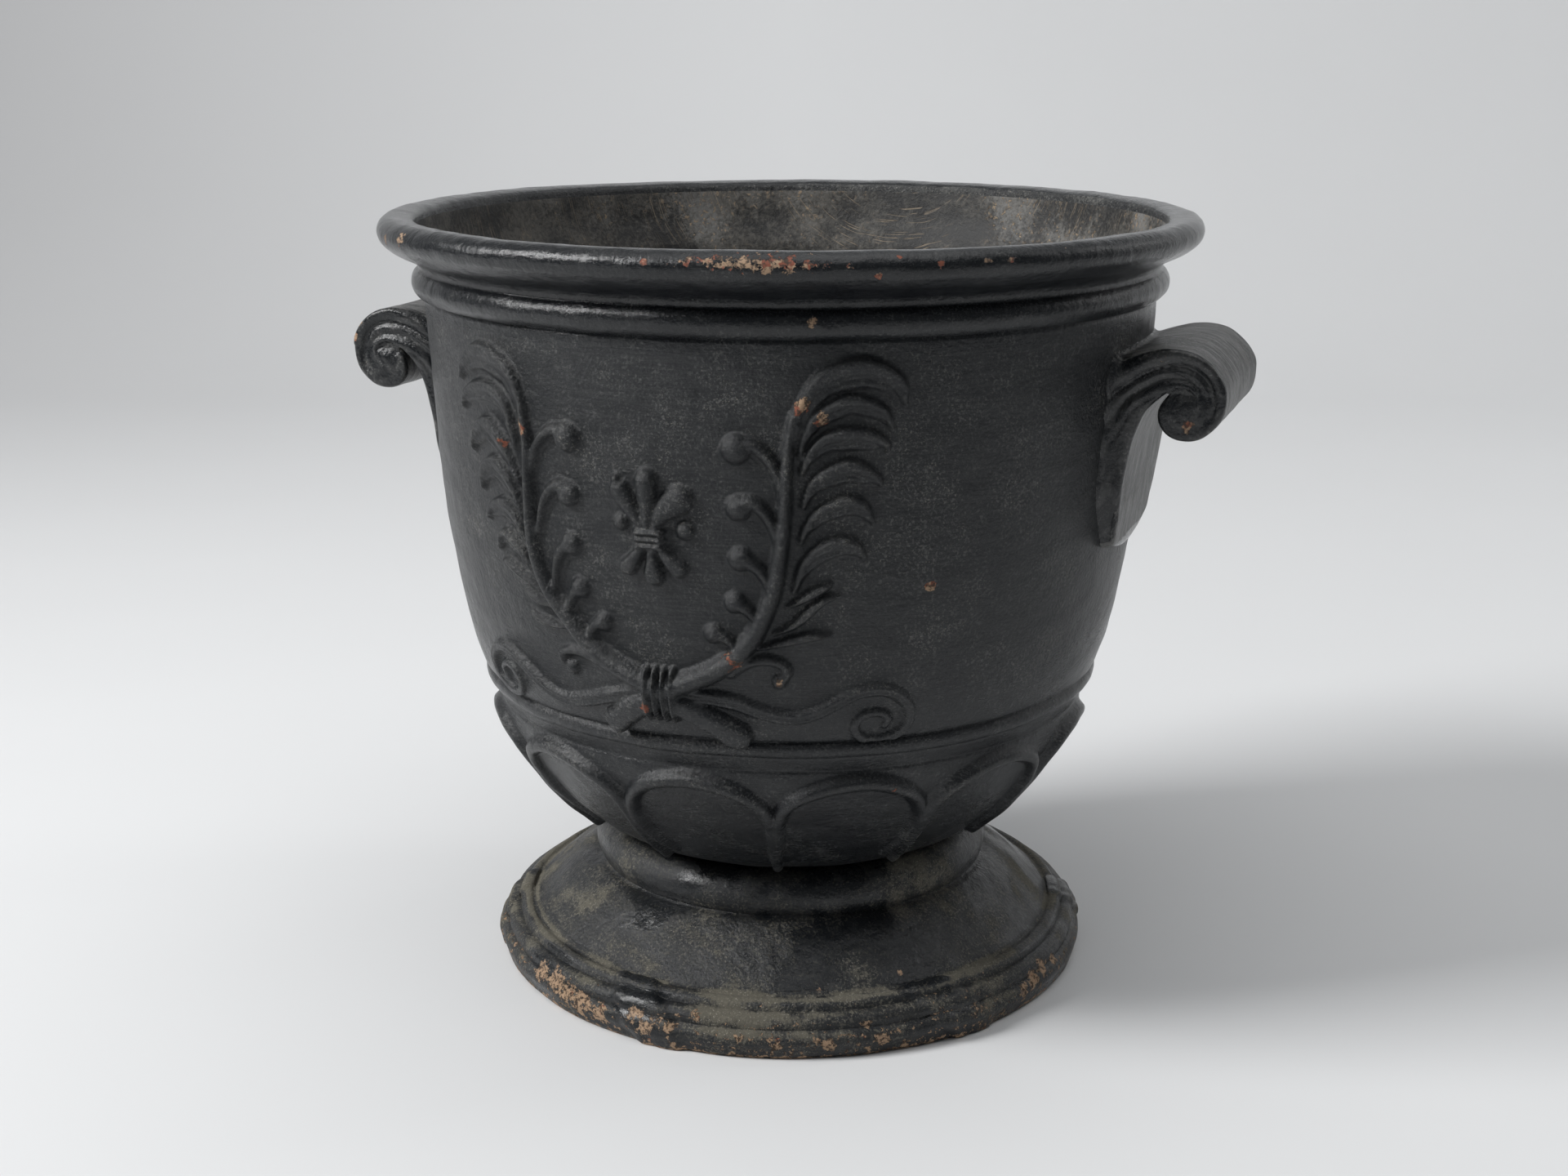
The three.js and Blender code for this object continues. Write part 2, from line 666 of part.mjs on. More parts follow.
function footBoltSet() {
  const at = (height) => new THREE.Vector3(0, 0, height);
  const hole = boltRadius + boreClearance / 2;
  const headUnder = bossTop + 2 * paintGap + boltWasherHeight;
  const plateUnder = footHeight - plateThickness - paintGap;
  const plateWasherUnder = plateUnder - boltWasherHeight;
  const nutTop = plateWasherUnder - paintGap;
  const nutUnder = nutTop - 2 * boltRadius * 0.8;
  const head = rod(at(headUnder), at(headUnder + boltHeadHeight), hexCorner(boltFlats), 6);
  const shank = rod(at(nutUnder - threadShows), at(headUnder + boltHeadHeight / 2), boltRadius, boreSides);
  const headWasher = ring(at(bossTop + paintGap), at(headUnder - paintGap), boltWasherRadius, hole, 20);
  const plateWasher = ring(at(plateWasherUnder), at(plateUnder), boltWasherRadius, hole, 20);
  const nut = ring(at(nutUnder), at(nutTop), hexCorner(boltFlats), hole, 6);
  return [
    piece("foot_bolt", head.add(shank), oldSteel),
    piece("foot_bolt_washer", headWasher, oldSteel),
    piece("foot_plate_washer", plateWasher, oldSteel),
    piece("foot_nut", nut, oldSteel),
  ];
}

// ---------------------------------------------------------------- the urn

const group = new THREE.Group();
group.add(piece("foot", foot(), ironPaint));
group.add(piece("bowl", bowl(), ironPaint));
group.add(piece("handle_right", handle(1), ironPaint));
group.add(piece("handle_left", handle(-1), ironPaint));
for (const fastener of [...studSet("right", 1), ...studSet("left", -1), ...footBoltSet()]) {
  group.add(fastener);
}

export default group;
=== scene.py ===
import math

import bpy
import numpy as np
from mathutils import Matrix, Vector
from mathutils.geometry import delaunay_2d_cdt


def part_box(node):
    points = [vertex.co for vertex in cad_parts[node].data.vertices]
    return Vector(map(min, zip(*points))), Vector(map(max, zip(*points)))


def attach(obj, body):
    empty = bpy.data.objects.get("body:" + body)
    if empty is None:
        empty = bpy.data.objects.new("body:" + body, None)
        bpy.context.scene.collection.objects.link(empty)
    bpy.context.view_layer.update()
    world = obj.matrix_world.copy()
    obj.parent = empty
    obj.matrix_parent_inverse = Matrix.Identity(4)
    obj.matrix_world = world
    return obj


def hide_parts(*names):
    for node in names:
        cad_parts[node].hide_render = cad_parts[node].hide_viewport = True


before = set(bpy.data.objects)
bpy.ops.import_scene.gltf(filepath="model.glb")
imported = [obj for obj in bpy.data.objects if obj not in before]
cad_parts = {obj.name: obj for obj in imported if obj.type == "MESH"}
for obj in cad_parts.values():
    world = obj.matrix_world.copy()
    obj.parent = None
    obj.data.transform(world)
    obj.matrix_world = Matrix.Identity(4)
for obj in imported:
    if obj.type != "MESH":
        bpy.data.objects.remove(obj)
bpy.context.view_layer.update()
mm = 0.001


# ---------------------------------------------------------------- the foot
# A hollow iron casting that stands on a flat ring. Three reeds run round its plinth, with six
# broad ribbons wound aslant over them, and a flare rises to a rounded collar. A plate across its
# top takes the bowl's spigot, the bolt and the drains. The paint is knocked off most on the plinth.

foot_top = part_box("foot")[1][2] / mm
seat_gap = 0.3
bowl_seat = foot_top + seat_gap
spigot_radius, spigot_depth, spigot_play = 58, 4, 0.3
seat_radius = 105
bolt_bore = 8.5
plate_thickness = 12
plate_under = foot_top - plate_thickness
drain_radius, drain_circle = 9, 40
drain_turns = [180, 300, 60]
ribbon_turns = [-8 + 60 * i for i in range(6)]
foot_columns = 576
smooth_up_to = 55


def arc(centre, size, start, end, steps=8):
    angles = np.radians(np.linspace(start, end, steps + 1))
    return np.column_stack([centre[0] + size * np.cos(angles), centre[1] + size * np.sin(angles)])


def through(points, steps=6):
    """A smooth line through points of any number of coordinates."""
    points = np.array(points, float)
    ends = np.vstack([2 * points[0] - points[1], points, 2 * points[-1] - points[-2]])
    line = []
    for a, b, c, d in zip(ends, ends[1:], ends[2:], ends[3:]):
        for t in np.arange(steps) / steps:
            line.append(0.5 * (2 * b + (c - a) * t + (2 * a - 5 * b + 4 * c - d) * t**2
                               + (3 * b - a - 3 * c + d) * t**3))
    return np.array(line + [points[-1]])


def evenly(points, spacing):
    """Points at equal steps along a line, with its last point left out."""
    points = np.array(points, float)
    run = np.concatenate([[0], np.cumsum(np.linalg.norm(np.diff(points, axis=0), axis=1))])
    at = np.linspace(0, run[-1], max(1, round(run[-1] / spacing)) + 1)[:-1]
    return np.column_stack([np.interp(at, run, points[:, k]) for k in (0, 1)])


def lumps(places, size, seed):
    """Soft unevenness of a hand-rammed mould: about -1 to 1, with hollows of roughly that size."""
    random = np.random.default_rng(seed)
    waves = random.normal(size=(14, 3)) / size * 2.2
    phases = random.uniform(0, 2 * np.pi, 14)
    return sum(np.cos(places @ wave + phase) for wave, phase in zip(waves, phases)) / 5


def joined(name, points, faces):
    """A piece made of points, in metres, and the faces between them."""
    mesh = bpy.data.meshes.new(name)
    mesh.from_pydata(points, [], faces)
    piece = bpy.data.objects.new(name, mesh)
    bpy.context.collection.objects.link(piece)
    return piece


def turn_of(points):
    """Degrees from the front, round the axis."""
    return np.degrees(np.arctan2(points[:, 0], -points[:, 1]))


class Turned:
    """Rings of points on a turned casting, and how far the carving lifts each of them.

    Each stretch of the outline is (points, spacing of its rings, share): a share of 4 keeps every
    fourth column. Columns stand at turns, in degrees from the front."""

    def __init__(self, stretches, turns):
        outline, self.shares, self.stretch = [], [], []
        for number, (points, spacing, share) in enumerate(stretches):
            outline.append(evenly(points, spacing))
            self.shares += [share] * len(outline[-1])
            self.stretch += [number] * len(outline[-1])
        self.outline = np.vstack(outline)
        self.stretch = np.array(self.stretch)
        self.turns = np.array(turns, float)
        along = np.roll(self.outline, -1, axis=0) - np.roll(self.outline, 1, axis=0)
        along /= np.linalg.norm(along, axis=1)[:, None]
        side, front = np.sin(np.radians(self.turns)), -np.cos(np.radians(self.turns))
        self.places = self.spread(self.outline[:, 0], side, front, self.outline[:, 1])
        self.out = self.spread(along[:, 1], side, front, -along[:, 0])
        self.relief = np.zeros(self.places.shape[:2])

    def spread(self, reach, side, front, height):
        x, y = np.outer(reach, side), np.outer(reach, front)
        return np.dstack([x, y, np.repeat(height[:, None], len(self.turns), axis=1)])

    def on_skin(self, line, stretch):
        """A line of (degrees, height) points, laid on one stretch of the skin."""
        line = through(line)
        skin = self.outline[self.stretch == stretch]
        reach = np.interp(line[:, 1], skin[:, 1], skin[:, 0])
        turn = np.radians(line[:, 0])
        return np.column_stack([reach * np.sin(turn), -reach * np.cos(turn), line[:, 1]])

    def around(self, line, reach, stretch):
        """Rows and columns of the points within reach of a line."""
        rows = (self.stretch == stretch) & (self.outline[:, 1] > line[:, 2].min() - reach)
        rows &= self.outline[:, 1] < line[:, 2].max() + reach
        middle = math.degrees(math.atan2(*(line.mean(axis=0)[:2] * (1, -1))))
        spread = np.abs((turn_of(line) - middle + 180) % 360 - 180).max()
        spread += math.degrees(reach / np.hypot(*line[:, :2].T).min())
        columns = np.abs((self.turns - middle + 180) % 360 - 180) < spread
        return np.ix_(rows, columns)

    def raise_by(self, window, height):
        self.relief[window] = np.maximum(self.relief[window], height)

    def strand(self, line, widths, rise, stretch, shape=lambda across: (1 - across**2) ** 0.6, cut=False):
        """A carved strand along a line; widths and rise may change along it. A cut one ends flat."""
        line = self.on_skin(line, stretch)
        window = self.around(line, np.max(widths) + 2, stretch)
        away, along, side = measure(self.places[window], line)
        across = np.clip(away / spaced(widths, along), 0, 1)
        signed = np.clip(side / spaced(widths, along), -1, 1)
        inside = (across < 1) & (along <= 1 - 1e-6 * cut)
        height = np.where(inside, spaced(rise, along) * shape(np.where(inside, across, 0)), 0)
        self.raise_by(window, height)
        return window, inside, along, signed

    def ball(self, turn, height, radius, stretch, squash=0.85):
        centre = self.on_skin([(turn, height), (turn, height + 0.1)], stretch)
        window = self.around(centre, radius + 2, stretch)
        away = np.linalg.norm(self.places[window] - centre[0], axis=2)
        self.raise_by(window, squash * np.sqrt(np.clip(radius**2 - away**2, 0, None)))

    def soften(self, rounds):
        """Rounds the carving's edges, as sand moulding and many coats of paint do."""
        for _ in range(rounds):
            for axis in (0, 1):
                self.relief += 0.25 * (np.roll(self.relief, 1, axis) + np.roll(self.relief, -1, axis)
                                       - 2 * self.relief)

    def faces(self):
        kept = [np.arange(0, len(self.turns), share) for share in self.shares]
        starts = np.concatenate([[0], np.cumsum([len(columns) for columns in kept])])
        faces = []
        for row in range(len(kept)):
            above = (row + 1) % len(kept)
            low, high = self.shares[row], self.shares[above]
            wide = max(low, high)
            for cell in range(len(self.turns) // wide):
                faces.append(
                    [starts[row] + k % len(kept[row])
                     for k in range(cell * wide // low, (cell + 1) * wide // low + 1)]
                    + [starts[above] + k % len(kept[above])
                       for k in range((cell + 1) * wide // high, cell * wide // high - 1, -1)])
        widest = np.maximum(self.shares, np.roll(self.shares, -1))
        rows_of_faces = np.repeat(np.arange(len(kept)), len(self.turns) // widest)
        return kept, faces, rows_of_faces

    def mesh(self, name, unevenness):
        places = self.places + self.out * self.relief[:, :, None]
        kept, faces, rows = self.faces()
        points = np.vstack([places[row, columns] for row, columns in enumerate(kept)])
        out = np.vstack([self.out[row, columns] for row, columns in enumerate(kept)])
        for size, height, seed in unevenness:
            points += out * height * lumps(points, size, seed)[:, None]
        points[:, 2] = np.maximum(points[:, 2], self.outline[:, 1].min())
        return joined(name, points * mm, faces), self.stretch[rows]


def spaced(values, along):
    """Values given at equal steps along a line, read at places along it."""
    values = np.atleast_1d(values)
    return np.interp(along, np.linspace(0, 1, len(values)), values) if len(values) > 1 else values[0]


def measure(places, line, out=None):
    """How far each place is from a line, how far along it (0 to 1), and its offset to the right.
    The line is seen from the side that out points to, which is away from the urn's axis unless given."""
    flat = places.reshape(-1, 3)
    start, step = line[:-1], np.diff(line, axis=0)
    length = np.linalg.norm(step, axis=1)
    if out is None:
        out = start * (1, 1, 0) / np.linalg.norm(start[:, :2], axis=1)[:, None]
    right = np.cross(step, out)
    right /= np.linalg.norm(right, axis=1)[:, None]
    nearest = np.full(len(flat), np.inf)
    along, side = np.zeros(len(flat)), np.zeros(len(flat))
    run = np.concatenate([[0], np.cumsum(length)])
    for i in range(len(start)):
        part = np.clip((flat - start[i]) @ step[i] / length[i] ** 2, 0, 1)
        gap = flat - start[i] - part[:, None] * step[i]
        away = np.linalg.norm(gap, axis=1)
        closer = away < nearest
        nearest[closer] = away[closer]
        along[closer] = ((run[i] + part * length[i]) / run[-1])[closer]
        side[closer] = (gap @ right[i])[closer]
    shape = places.shape[:-1]
    return nearest.reshape(shape), along.reshape(shape), side.reshape(shape)


plinth = np.vstack([[(179, 0), (181.2, 2.4), (182.2, 6.4)],
                    through([(182.5, 7.4), (183.4, 10.4), (182.7, 13.8), (180.8, 16.2), (179, 17.2)], 4),
                    through([(179.2, 18.2), (178.9, 21), (177, 23.8), (174.2, 25.2), (171.8, 25.4)], 4),
                    through([(171.5, 26.4), (170.4, 28.7), (167.8, 30.4), (165.2, 30.5), (163.6, 29.6)], 4)])
slope = through([(163, 29.9), (160.6, 31.6), (156.4, 35.2), (150, 41), (141.6, 48.4), (133, 55), (126, 59),
                 (122, 60)])
collar = arc((106.5, 69), 16, -28, 78, 16)
flare = np.vstack([slope, [(120.4, 60.6)], collar, [(107.4, 84.9), (seat_radius, 85.3)]])
foot_stretches = [
    (plinth, 0.8, 1),
    (flare, 1.4, 1),
    ([(seat_radius, 85.2), (seat_radius, foot_top), (spigot_radius + spigot_play, foot_top)], 4, 4),
    ([(spigot_radius + spigot_play, foot_top),
      (spigot_radius + spigot_play, foot_top - spigot_depth - spigot_play),
      (bolt_bore, foot_top - spigot_depth - spigot_play), (bolt_bore, plate_under)], 3, 8),
    ([(bolt_bore, plate_under), (85.5, plate_under), (100.5, 61.5), (157.4, 20.2), (170.4, 0), (179, 0)],
     4, 4),
]
foot_casting = Turned(foot_stretches, np.arange(foot_columns) * 360 / foot_columns)
for turn in ribbon_turns:
    window, inside, _, across = foot_casting.strand(
        [(turn + 4, 2), (turn + 2, 13), (turn - 1, 21), (turn - 4, 31)], 13.5, 2.1, 0,
        lambda across: (1 - across**8) ** 0.5)
    crease = 0.9 * np.exp(-((across + 0.25) / 0.09) ** 2) * inside
    foot_casting.relief[window] -= np.minimum(crease, foot_casting.relief[window])
foot_casting.soften(1)
foot, _ = foot_casting.mesh("iron_foot", [(42, 0.4, 1), (11, 0.16, 2)])


def rod(start, end, radius, sides=32):
    """A round cutter between two places."""
    start, end = np.array(start, float), np.array(end, float)
    along = (end - start) / np.linalg.norm(end - start)
    across = np.cross(along, (0.31, 0.17, 0.94))
    across /= np.linalg.norm(across)
    up = np.cross(along, across)
    angles = np.arange(sides) * 2 * np.pi / sides
    ring = radius * (np.outer(np.cos(angles), across) + np.outer(np.sin(angles), up))
    faces = [[k, (k + 1) % sides, sides + (k + 1) % sides, sides + k] for k in range(sides)]
    faces += [list(range(sides))[::-1], list(range(sides, 2 * sides))]
    return np.vstack([start + ring, end + ring]), faces


def work(piece, tools, how):
    """Cuts closed shapes out of a casting, or adds them to it. Each is its points and its faces."""
    counts = np.cumsum([0] + [len(points) for points, _ in tools])
    faces = [[int(first) + k for k in face] for first, (_, shape) in zip(counts, tools) for face in shape]
    tool = joined("tool", np.vstack([points for points, _ in tools]) * mm, faces)
    step = piece.modifiers.new(how, "BOOLEAN")
    step.operation, step.solver, step.object = how, "MANIFOLD", tool
    solid = bpy.data.meshes.new_from_object(piece.evaluated_get(bpy.context.evaluated_depsgraph_get()))
    piece.modifiers.clear()
    piece.data = solid
    bpy.data.objects.remove(tool)


def drains(low, high, past=2):
    """Cutters for the drain holes, which reach a little past both faces."""
    places = [(drain_circle * math.sin(math.radians(t)), -drain_circle * math.cos(math.radians(t)))
              for t in drain_turns]
    return [rod((x, y, low - past), (x, y, high + past), drain_radius) for x, y in places]


def points_of(piece):
    points = np.empty(3 * len(piece.data.vertices))
    piece.data.vertices.foreach_get("co", points)
    return points.reshape(-1, 3) / mm


def mark(piece, name, values):
    """Keeps a number for each point of a piece, for its finish to read."""
    kind = "FLOAT" if values.ndim == 1 else "FLOAT_VECTOR"
    layer = piece.data.attributes.new(name, kind, "POINT")
    layer.data.foreach_set("value" if values.ndim == 1 else "vector", values.astype(np.float32).ravel())


def hollows(piece, rounds=14):
    """How deep each point lies under the piece's smoothed skin, in millimetres; edges are below 0."""
    mesh, points = piece.data, points_of(piece)
    edges = np.empty(2 * len(mesh.edges), int)
    mesh.edges.foreach_get("vertices", edges)
    a, b = edges.reshape(-1, 2).T
    normals = np.empty(3 * len(points))
    mesh.vertices.foreach_get("normal", normals)
    ends, others = np.concatenate([a, b]), np.concatenate([b, a])
    number = np.maximum(np.bincount(ends, minlength=len(points)), 1)
    smooth = points.copy()
    for _ in range(rounds):
        smooth = np.column_stack([np.bincount(ends, smooth[others, k], len(points)) for k in range(3)])
        smooth /= number[:, None]
    return np.clip(np.einsum("ij,ij->i", smooth - points, normals.reshape(-1, 3)), -2.5, 2.5)


def spots(points, places):
    """How hard each (x, y, z, size) spot has been knocked: most in its middle, and less outwards."""
    strength = np.zeros(len(points))
    for x, y, z, size in places:
        away = np.linalg.norm(points - (x, y, z), axis=1) / size
        strength = np.maximum(strength, 0.8 * np.exp(-1.3 * away**2))
    return strength


def on_ring(turn, radius, height, size):
    return radius * math.sin(math.radians(turn)), -radius * math.cos(math.radians(turn)), height, size


def finish_casting(piece, node, knocks, dust, brush, joint=None):
    """Smooth shading, and the marks that the paint reads: hollows, which also place its painted shade
    and highlights, knocks, dust, which on the bowl also carries painted shade and light, and brush strokes.
    Points in a joint count as a shallow hollow, filled by paint."""
    piece.data.polygons.foreach_set("use_smooth", np.ones(len(piece.data.polygons), bool))
    piece.data.set_sharp_from_angle(angle=math.radians(smooth_up_to))
    hollow = hollows(piece)
    if joint is not None:
        hollow[joint] = np.clip(hollow[joint], 0, 0.6)
    mark(piece, "hollow", hollow)
    mark(piece, "knock", knocks)
    mark(piece, "dust", dust)
    mark(piece, "brush", brush)
    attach(piece, "root")
    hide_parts(node)


def brushed_round(points):
    """Brush strokes that run round a turned piece: about 12 mm long for each millimetre of width."""
    reach = np.hypot(points[:, 0], points[:, 1]) + 1e-6
    around = points[:, :2] / reach[:, None] * 200 / 12
    return np.column_stack([around, points[:, 2] + 0.5 * reach])


class Finish:
    """A material's nodes, added one after another."""

    def __init__(self, name):
        self.material = bpy.data.materials.new(name)
        self.material.use_nodes = True
        self.tree = self.material.node_tree
        self.shader = self.tree.nodes["Principled BSDF"]
        self.places = self.add("ShaderNodeTexCoord").outputs["Object"]

    def feed(self, socket, value):
        if isinstance(value, bpy.types.NodeSocket):
            self.tree.links.new(value, socket)
        else:
            socket.default_value = value

    def add(self, kind, inputs=None, **settings):
        node = self.tree.nodes.new(kind)
        for name, value in settings.items():
            setattr(node, name, value)
        for name, value in (inputs or {}).items():
            self.feed(node.inputs[name], value)
        return node

    def noise(self, size, detail=3, roughness=0.55, places=None, unit=mm):
        """Cloudy values from 0 to 1, with features of about that size in millimetres."""
        node = self.add("ShaderNodeTexNoise", {"Vector": places or self.places, "Scale": 1 / (size * unit),
                                               "Detail": detail, "Roughness": roughness})
        return node.outputs["Fac"]

    def sum(self, *parts):
        """Adds (value, weight) pairs; a bare number is a constant."""
        total = None
        for part in parts:
            value, weight = part if isinstance(part, tuple) else (part, 1)
            if total is None:
                node = self.add("ShaderNodeMath", {0: value, 1: weight}, operation="MULTIPLY")
            else:
                node = self.add("ShaderNodeMath", {0: value, 1: weight, 2: total}, operation="MULTIPLY_ADD")
            total = node.outputs[0]
        return total

    def times(self, a, b):
        return self.add("ShaderNodeMath", {0: a, 1: b}, operation="MULTIPLY").outputs[0]

    def step(self, value, low, high, start=0.0, end=1.0):
        """Goes smoothly from start to end as value goes from low to high."""
        limits = {"Value": value, "From Min": low, "From Max": high, "To Min": start, "To Max": end}
        return self.add("ShaderNodeMapRange", limits, interpolation_type="SMOOTHSTEP").outputs["Result"]

    def mix(self, share, first, second):
        """One colour over another."""
        node = self.add("ShaderNodeMix", data_type="RGBA")
        for socket, value in ((0, share), (6, first), (7, second)):
            self.feed(node.inputs[socket], (*value, 1) if isinstance(value, tuple) else value)
        return node.outputs[2]

    def read(self, name):
        node = self.add("ShaderNodeAttribute", attribute_name=name)
        return node.outputs["Vector"] if name == "brush" else node.outputs["Fac"]

    def upward(self):
        """1 where the skin faces up, -1 where it faces down."""
        normal = self.add("ShaderNodeNewGeometry").outputs["Normal"]
        return self.add("ShaderNodeSeparateXYZ", {0: normal}).outputs["Z"]

    def set(self, **inputs):
        for name, value in inputs.items():
            self.feed(self.shader.inputs[name.replace("_", " ")], value)

    def bump(self, height):
        """Height in millimetres."""
        node = self.add("ShaderNodeBump", {"Height": height, "Distance": mm, "Strength": 1.0})
        self.set(Normal=node.outputs[0])


new_paint = (0.006, 0.0072, 0.009)
dull_paint = (0.0125, 0.014, 0.0155)
grey_dust, olive_dust = (0.125, 0.125, 0.12), (0.155, 0.143, 0.112)
grit_colour = (0.33, 0.31, 0.26)
primer_red = (0.23, 0.07, 0.04)
primer_buff = (0.37, 0.25, 0.16)
bare_brown = (0.05, 0.034, 0.024)


def black_paint(name, roughness, roughcast, redness, dust_colour, strokes=0.3):
    """Brushed black paint over a casting, dusty in places and chipped through to the red and buff
    coats under it. Recesses are darkened as painted shade, and raised edges are lightened, partly as wear
    and partly as a painted highlight."""
    f = Finish(name)
    hollow, knock, dust, brush = f.read("hollow"), f.read("knock"), f.read("dust"), f.read("brush")
    streaks, wide_streaks = f.noise(1.0, 4, 0.58, brush, unit=1), f.noise(3.2, 4, 0.6, brush, unit=1)
    lump, grain, fine = f.noise(8, 2), f.noise(2.0, 5, 0.75), f.noise(0.9, 2)
    patches, clouds = f.noise(30, 8, 0.7), f.noise(110, 3)

    ragged = f.sum((f.noise(4.2, 7, 0.68), 0.75), (wide_streaks, 0.25))
    chip = f.step(f.sum(knock, (ragged, 2.2), (hollow, -0.08)), 1.62, 1.65)
    # Raised edges are lightened towards the grit colour: partly rubbed wear, partly a painted highlight on
    # the carving.
    worn_and_highlit = f.step(f.sum((hollow, -0.25), (grain, 1.1), (streaks, 0.4), (knock, 0.2)), 1.0, 1.5)

    # Dust gathers in patches, in clouds and on faces that look up, and is kept out of recesses so that they
    # stay dark: that part is painted shade. The film, flecks and grit below follow it.
    dust_and_recess_shade = f.sum((patches, 3.2), (clouds, 0.8), (streaks, strokes), (hollow, -0.06), (dust, 1.0),
                    (f.upward(), 0.1), -2.28 - 0.5 * strokes)
    film_and_recess_shade = f.step(f.sum(dust_and_recess_shade, (grain, 1.6), -0.85), 0.0, 0.6)
    flecks = f.times(f.step(f.noise(1.7, 4, 0.6), 0.53, 0.62), f.step(dust_and_recess_shade, -0.8, 0.4, 0.1, 0.9))
    grit = f.times(f.step(fine, 0.62, 0.68), f.step(dust_and_recess_shade, -0.5, 0.5, 0.03, 0.7))

    coat = f.mix(f.step(f.sum((patches, 1.0), (streaks, 0.6)), 0.6, 1.0), new_paint, dull_paint)
    coat = f.mix(f.times(film_and_recess_shade, 0.7), coat, dust_colour)
    coat = f.mix(f.times(flecks, 0.7), coat, dust_colour)
    coat = f.mix(grit, coat, grit_colour)
    strands = f.step(f.sum((streaks, 0.6), (wide_streaks, 0.4)), 0.46, 0.56)
    strands = f.times(strands, f.step(dust, -0.3, 0.0, 0.2, 1.0))
    coat = f.mix(f.times(strands, 0.2 * strokes), coat, dust_colour)
    # Lightens the raised edges: wear and painted highlight.
    coat = f.mix(f.times(worn_and_highlit, 0.07), coat, grit_colour)
    red_from = 0.62 - 0.24 * redness
    bare = f.mix(f.step(f.noise(9, 5, 0.65), red_from, red_from + 0.06), primer_buff, primer_red)
    bare = f.mix(f.step(f.noise(2.4, 5, 0.7), 0.46, 0.58), bare, bare_brown)
    f.set(Base_Color=f.mix(chip, coat, bare))

    shine = f.sum(roughness, (streaks, 0.12), (patches, 0.2), (film_and_recess_shade, 0.32), (dust, 0.45), -0.16)
    f.set(Roughness=f.sum(shine, (chip, 0.5)), Specular_IOR_Level=0.42)
    coarse = f.times(grain, f.step(dust, -0.4, 0.0, 0.35, 1.0))
    f.bump(f.sum((lump, 0.7), (coarse, roughcast), (fine, 0.14), (streaks, 0.05 + 0.09 * strokes),
                 (chip, -0.4), (film_and_recess_shade, 0.06)))
    return f.material


foot.data.materials.append(black_paint("dusty_black_paint", 0.36, 0.6, 0.05, olive_dust))
work(foot, drains(plate_under, foot_top), "DIFFERENCE")

foot_points = points_of(foot)
foot_height = foot_points[:, 2]
foot_knocks = np.interp(foot_height, [0, 5, 8, 17, 22, 30, 34], [0.52, 0.4, 0.36, 0.36, 0.26, 0.2, 0.0])
foot_chips = [
    (-35, 180, 17, 10), (-30, 180, 16, 12), (-26, 181, 14, 11), (-22, 182, 12, 12), (-17, 182, 11, 9),
    (-9, 180, 16, 9), (-6, 182, 12, 9), (-2, 181, 14, 7), (3, 176, 21, 7), (18, 181, 10, 6),
    (27, 182, 9, 7), (34, 178, 18, 5), (37, 182, 10, 7), (52, 175, 21, 6), (57, 176, 20, 6),
    (69, 181, 13, 6), (73, 180, 15, 8), (77, 178, 18, 8), (82, 179, 17, 7), (44, 157, 36, 3),
    (26, 160, 33, 3), (130, 181, 14, 14), (210, 181, 13, 12), (-95, 181, 14, 12)]
foot_knocks = np.maximum(foot_knocks, spots(foot_points, [on_ring(*chip) for chip in foot_chips]))
foot_dust = np.interp(foot_height, [0, 6, 12, 15.5, 17.2, 19, 22, 24.6, 25.6, 29, 29.9, 30.8, 32, 60, 86],
                      [0.1, -0.1, 0.0, 0.3, -0.1, -0.2, 0.0, 0.3, 0.0, -0.1, 0.5, 0.5, -0.2, -0.2, -0.18])
foot_dust += 0.4 * lumps(foot_points, 45, 5) + 0.35 * np.clip(lumps(foot_points, 14, 6), -0.5, 1)
foot_dust += 0.6 * np.exp(-((turn_of(foot_points) + 62) / 26) ** 2) * (foot_height > 30)
finish_casting(foot, "foot", foot_knocks, foot_dust, brushed_round(foot_points))


# ---------------------------------------------------------------- the bowl
# One iron casting: a lobed cup under a band, a tall wall with a wreath on its front and its back,
# a bead and a rolled rim. It is rough inside and stained by earth. Four flat pads inside take the
# washers of the handles' studs, and its spigot drops into the foot.

rim_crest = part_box("bowl")[1][2] / mm
floor_thickness, boss_rise = 12, 2
floor_top = bowl_seat + floor_thickness
boss_top = floor_top + boss_rise
stud_height, stud_spread, stud_bore = 378, 60, 5.5
pad_face, pad_radius = 189.3, 17
CUP, WALL, INSIDE, FLOOR = 0, 2, 4, 5

cup = through([(seat_radius, bowl_seat), (116, 89.5), (127, 96), (136, 104), (145, 112), (152, 120),
               (158.4, 128), (164, 136), (169.2, 144), (174, 152), (176.6, 157), (178.2, 162), (179, 167),
               (179, 170.4)])
band = np.vstack([[(179, 170.4), (178.5, 171.2)], through([(178.7, 171.8), (180.7, 175.6), (182.8, 179.6)]),
                  [(182.7, 180.5)], arc((181.6, 186), 5.6, -62, 52), [(185.3, 191), (187.2, 192)]])
wall = through([(187.2, 192), (189.2, 196), (194.2, 212), (198.5, 232), (202.5, 256), (206.2, 280),
                (209, 308), (212, 360), (214, 404), (214.2, 409.6)])
rim = through([(217.6, 430), (219.8, 432.6), (224.6, 435.2), (230.2, 437.8), (235, 441), (238.6, 444.4),
               (240, 448.4), (239.2, 452.2), (236.6, 455.2), (232.5, rim_crest), (227, rim_crest - 0.1),
               (222, 456), (219.2, 454), (218, 450.5)])
bead = arc((212.6, 419.8), 8.8, -68, 58, 14)
moulding = np.vstack([[(214.2, 409.6), (213.6, 411)], bead, [(217.2, 428.2)], rim])
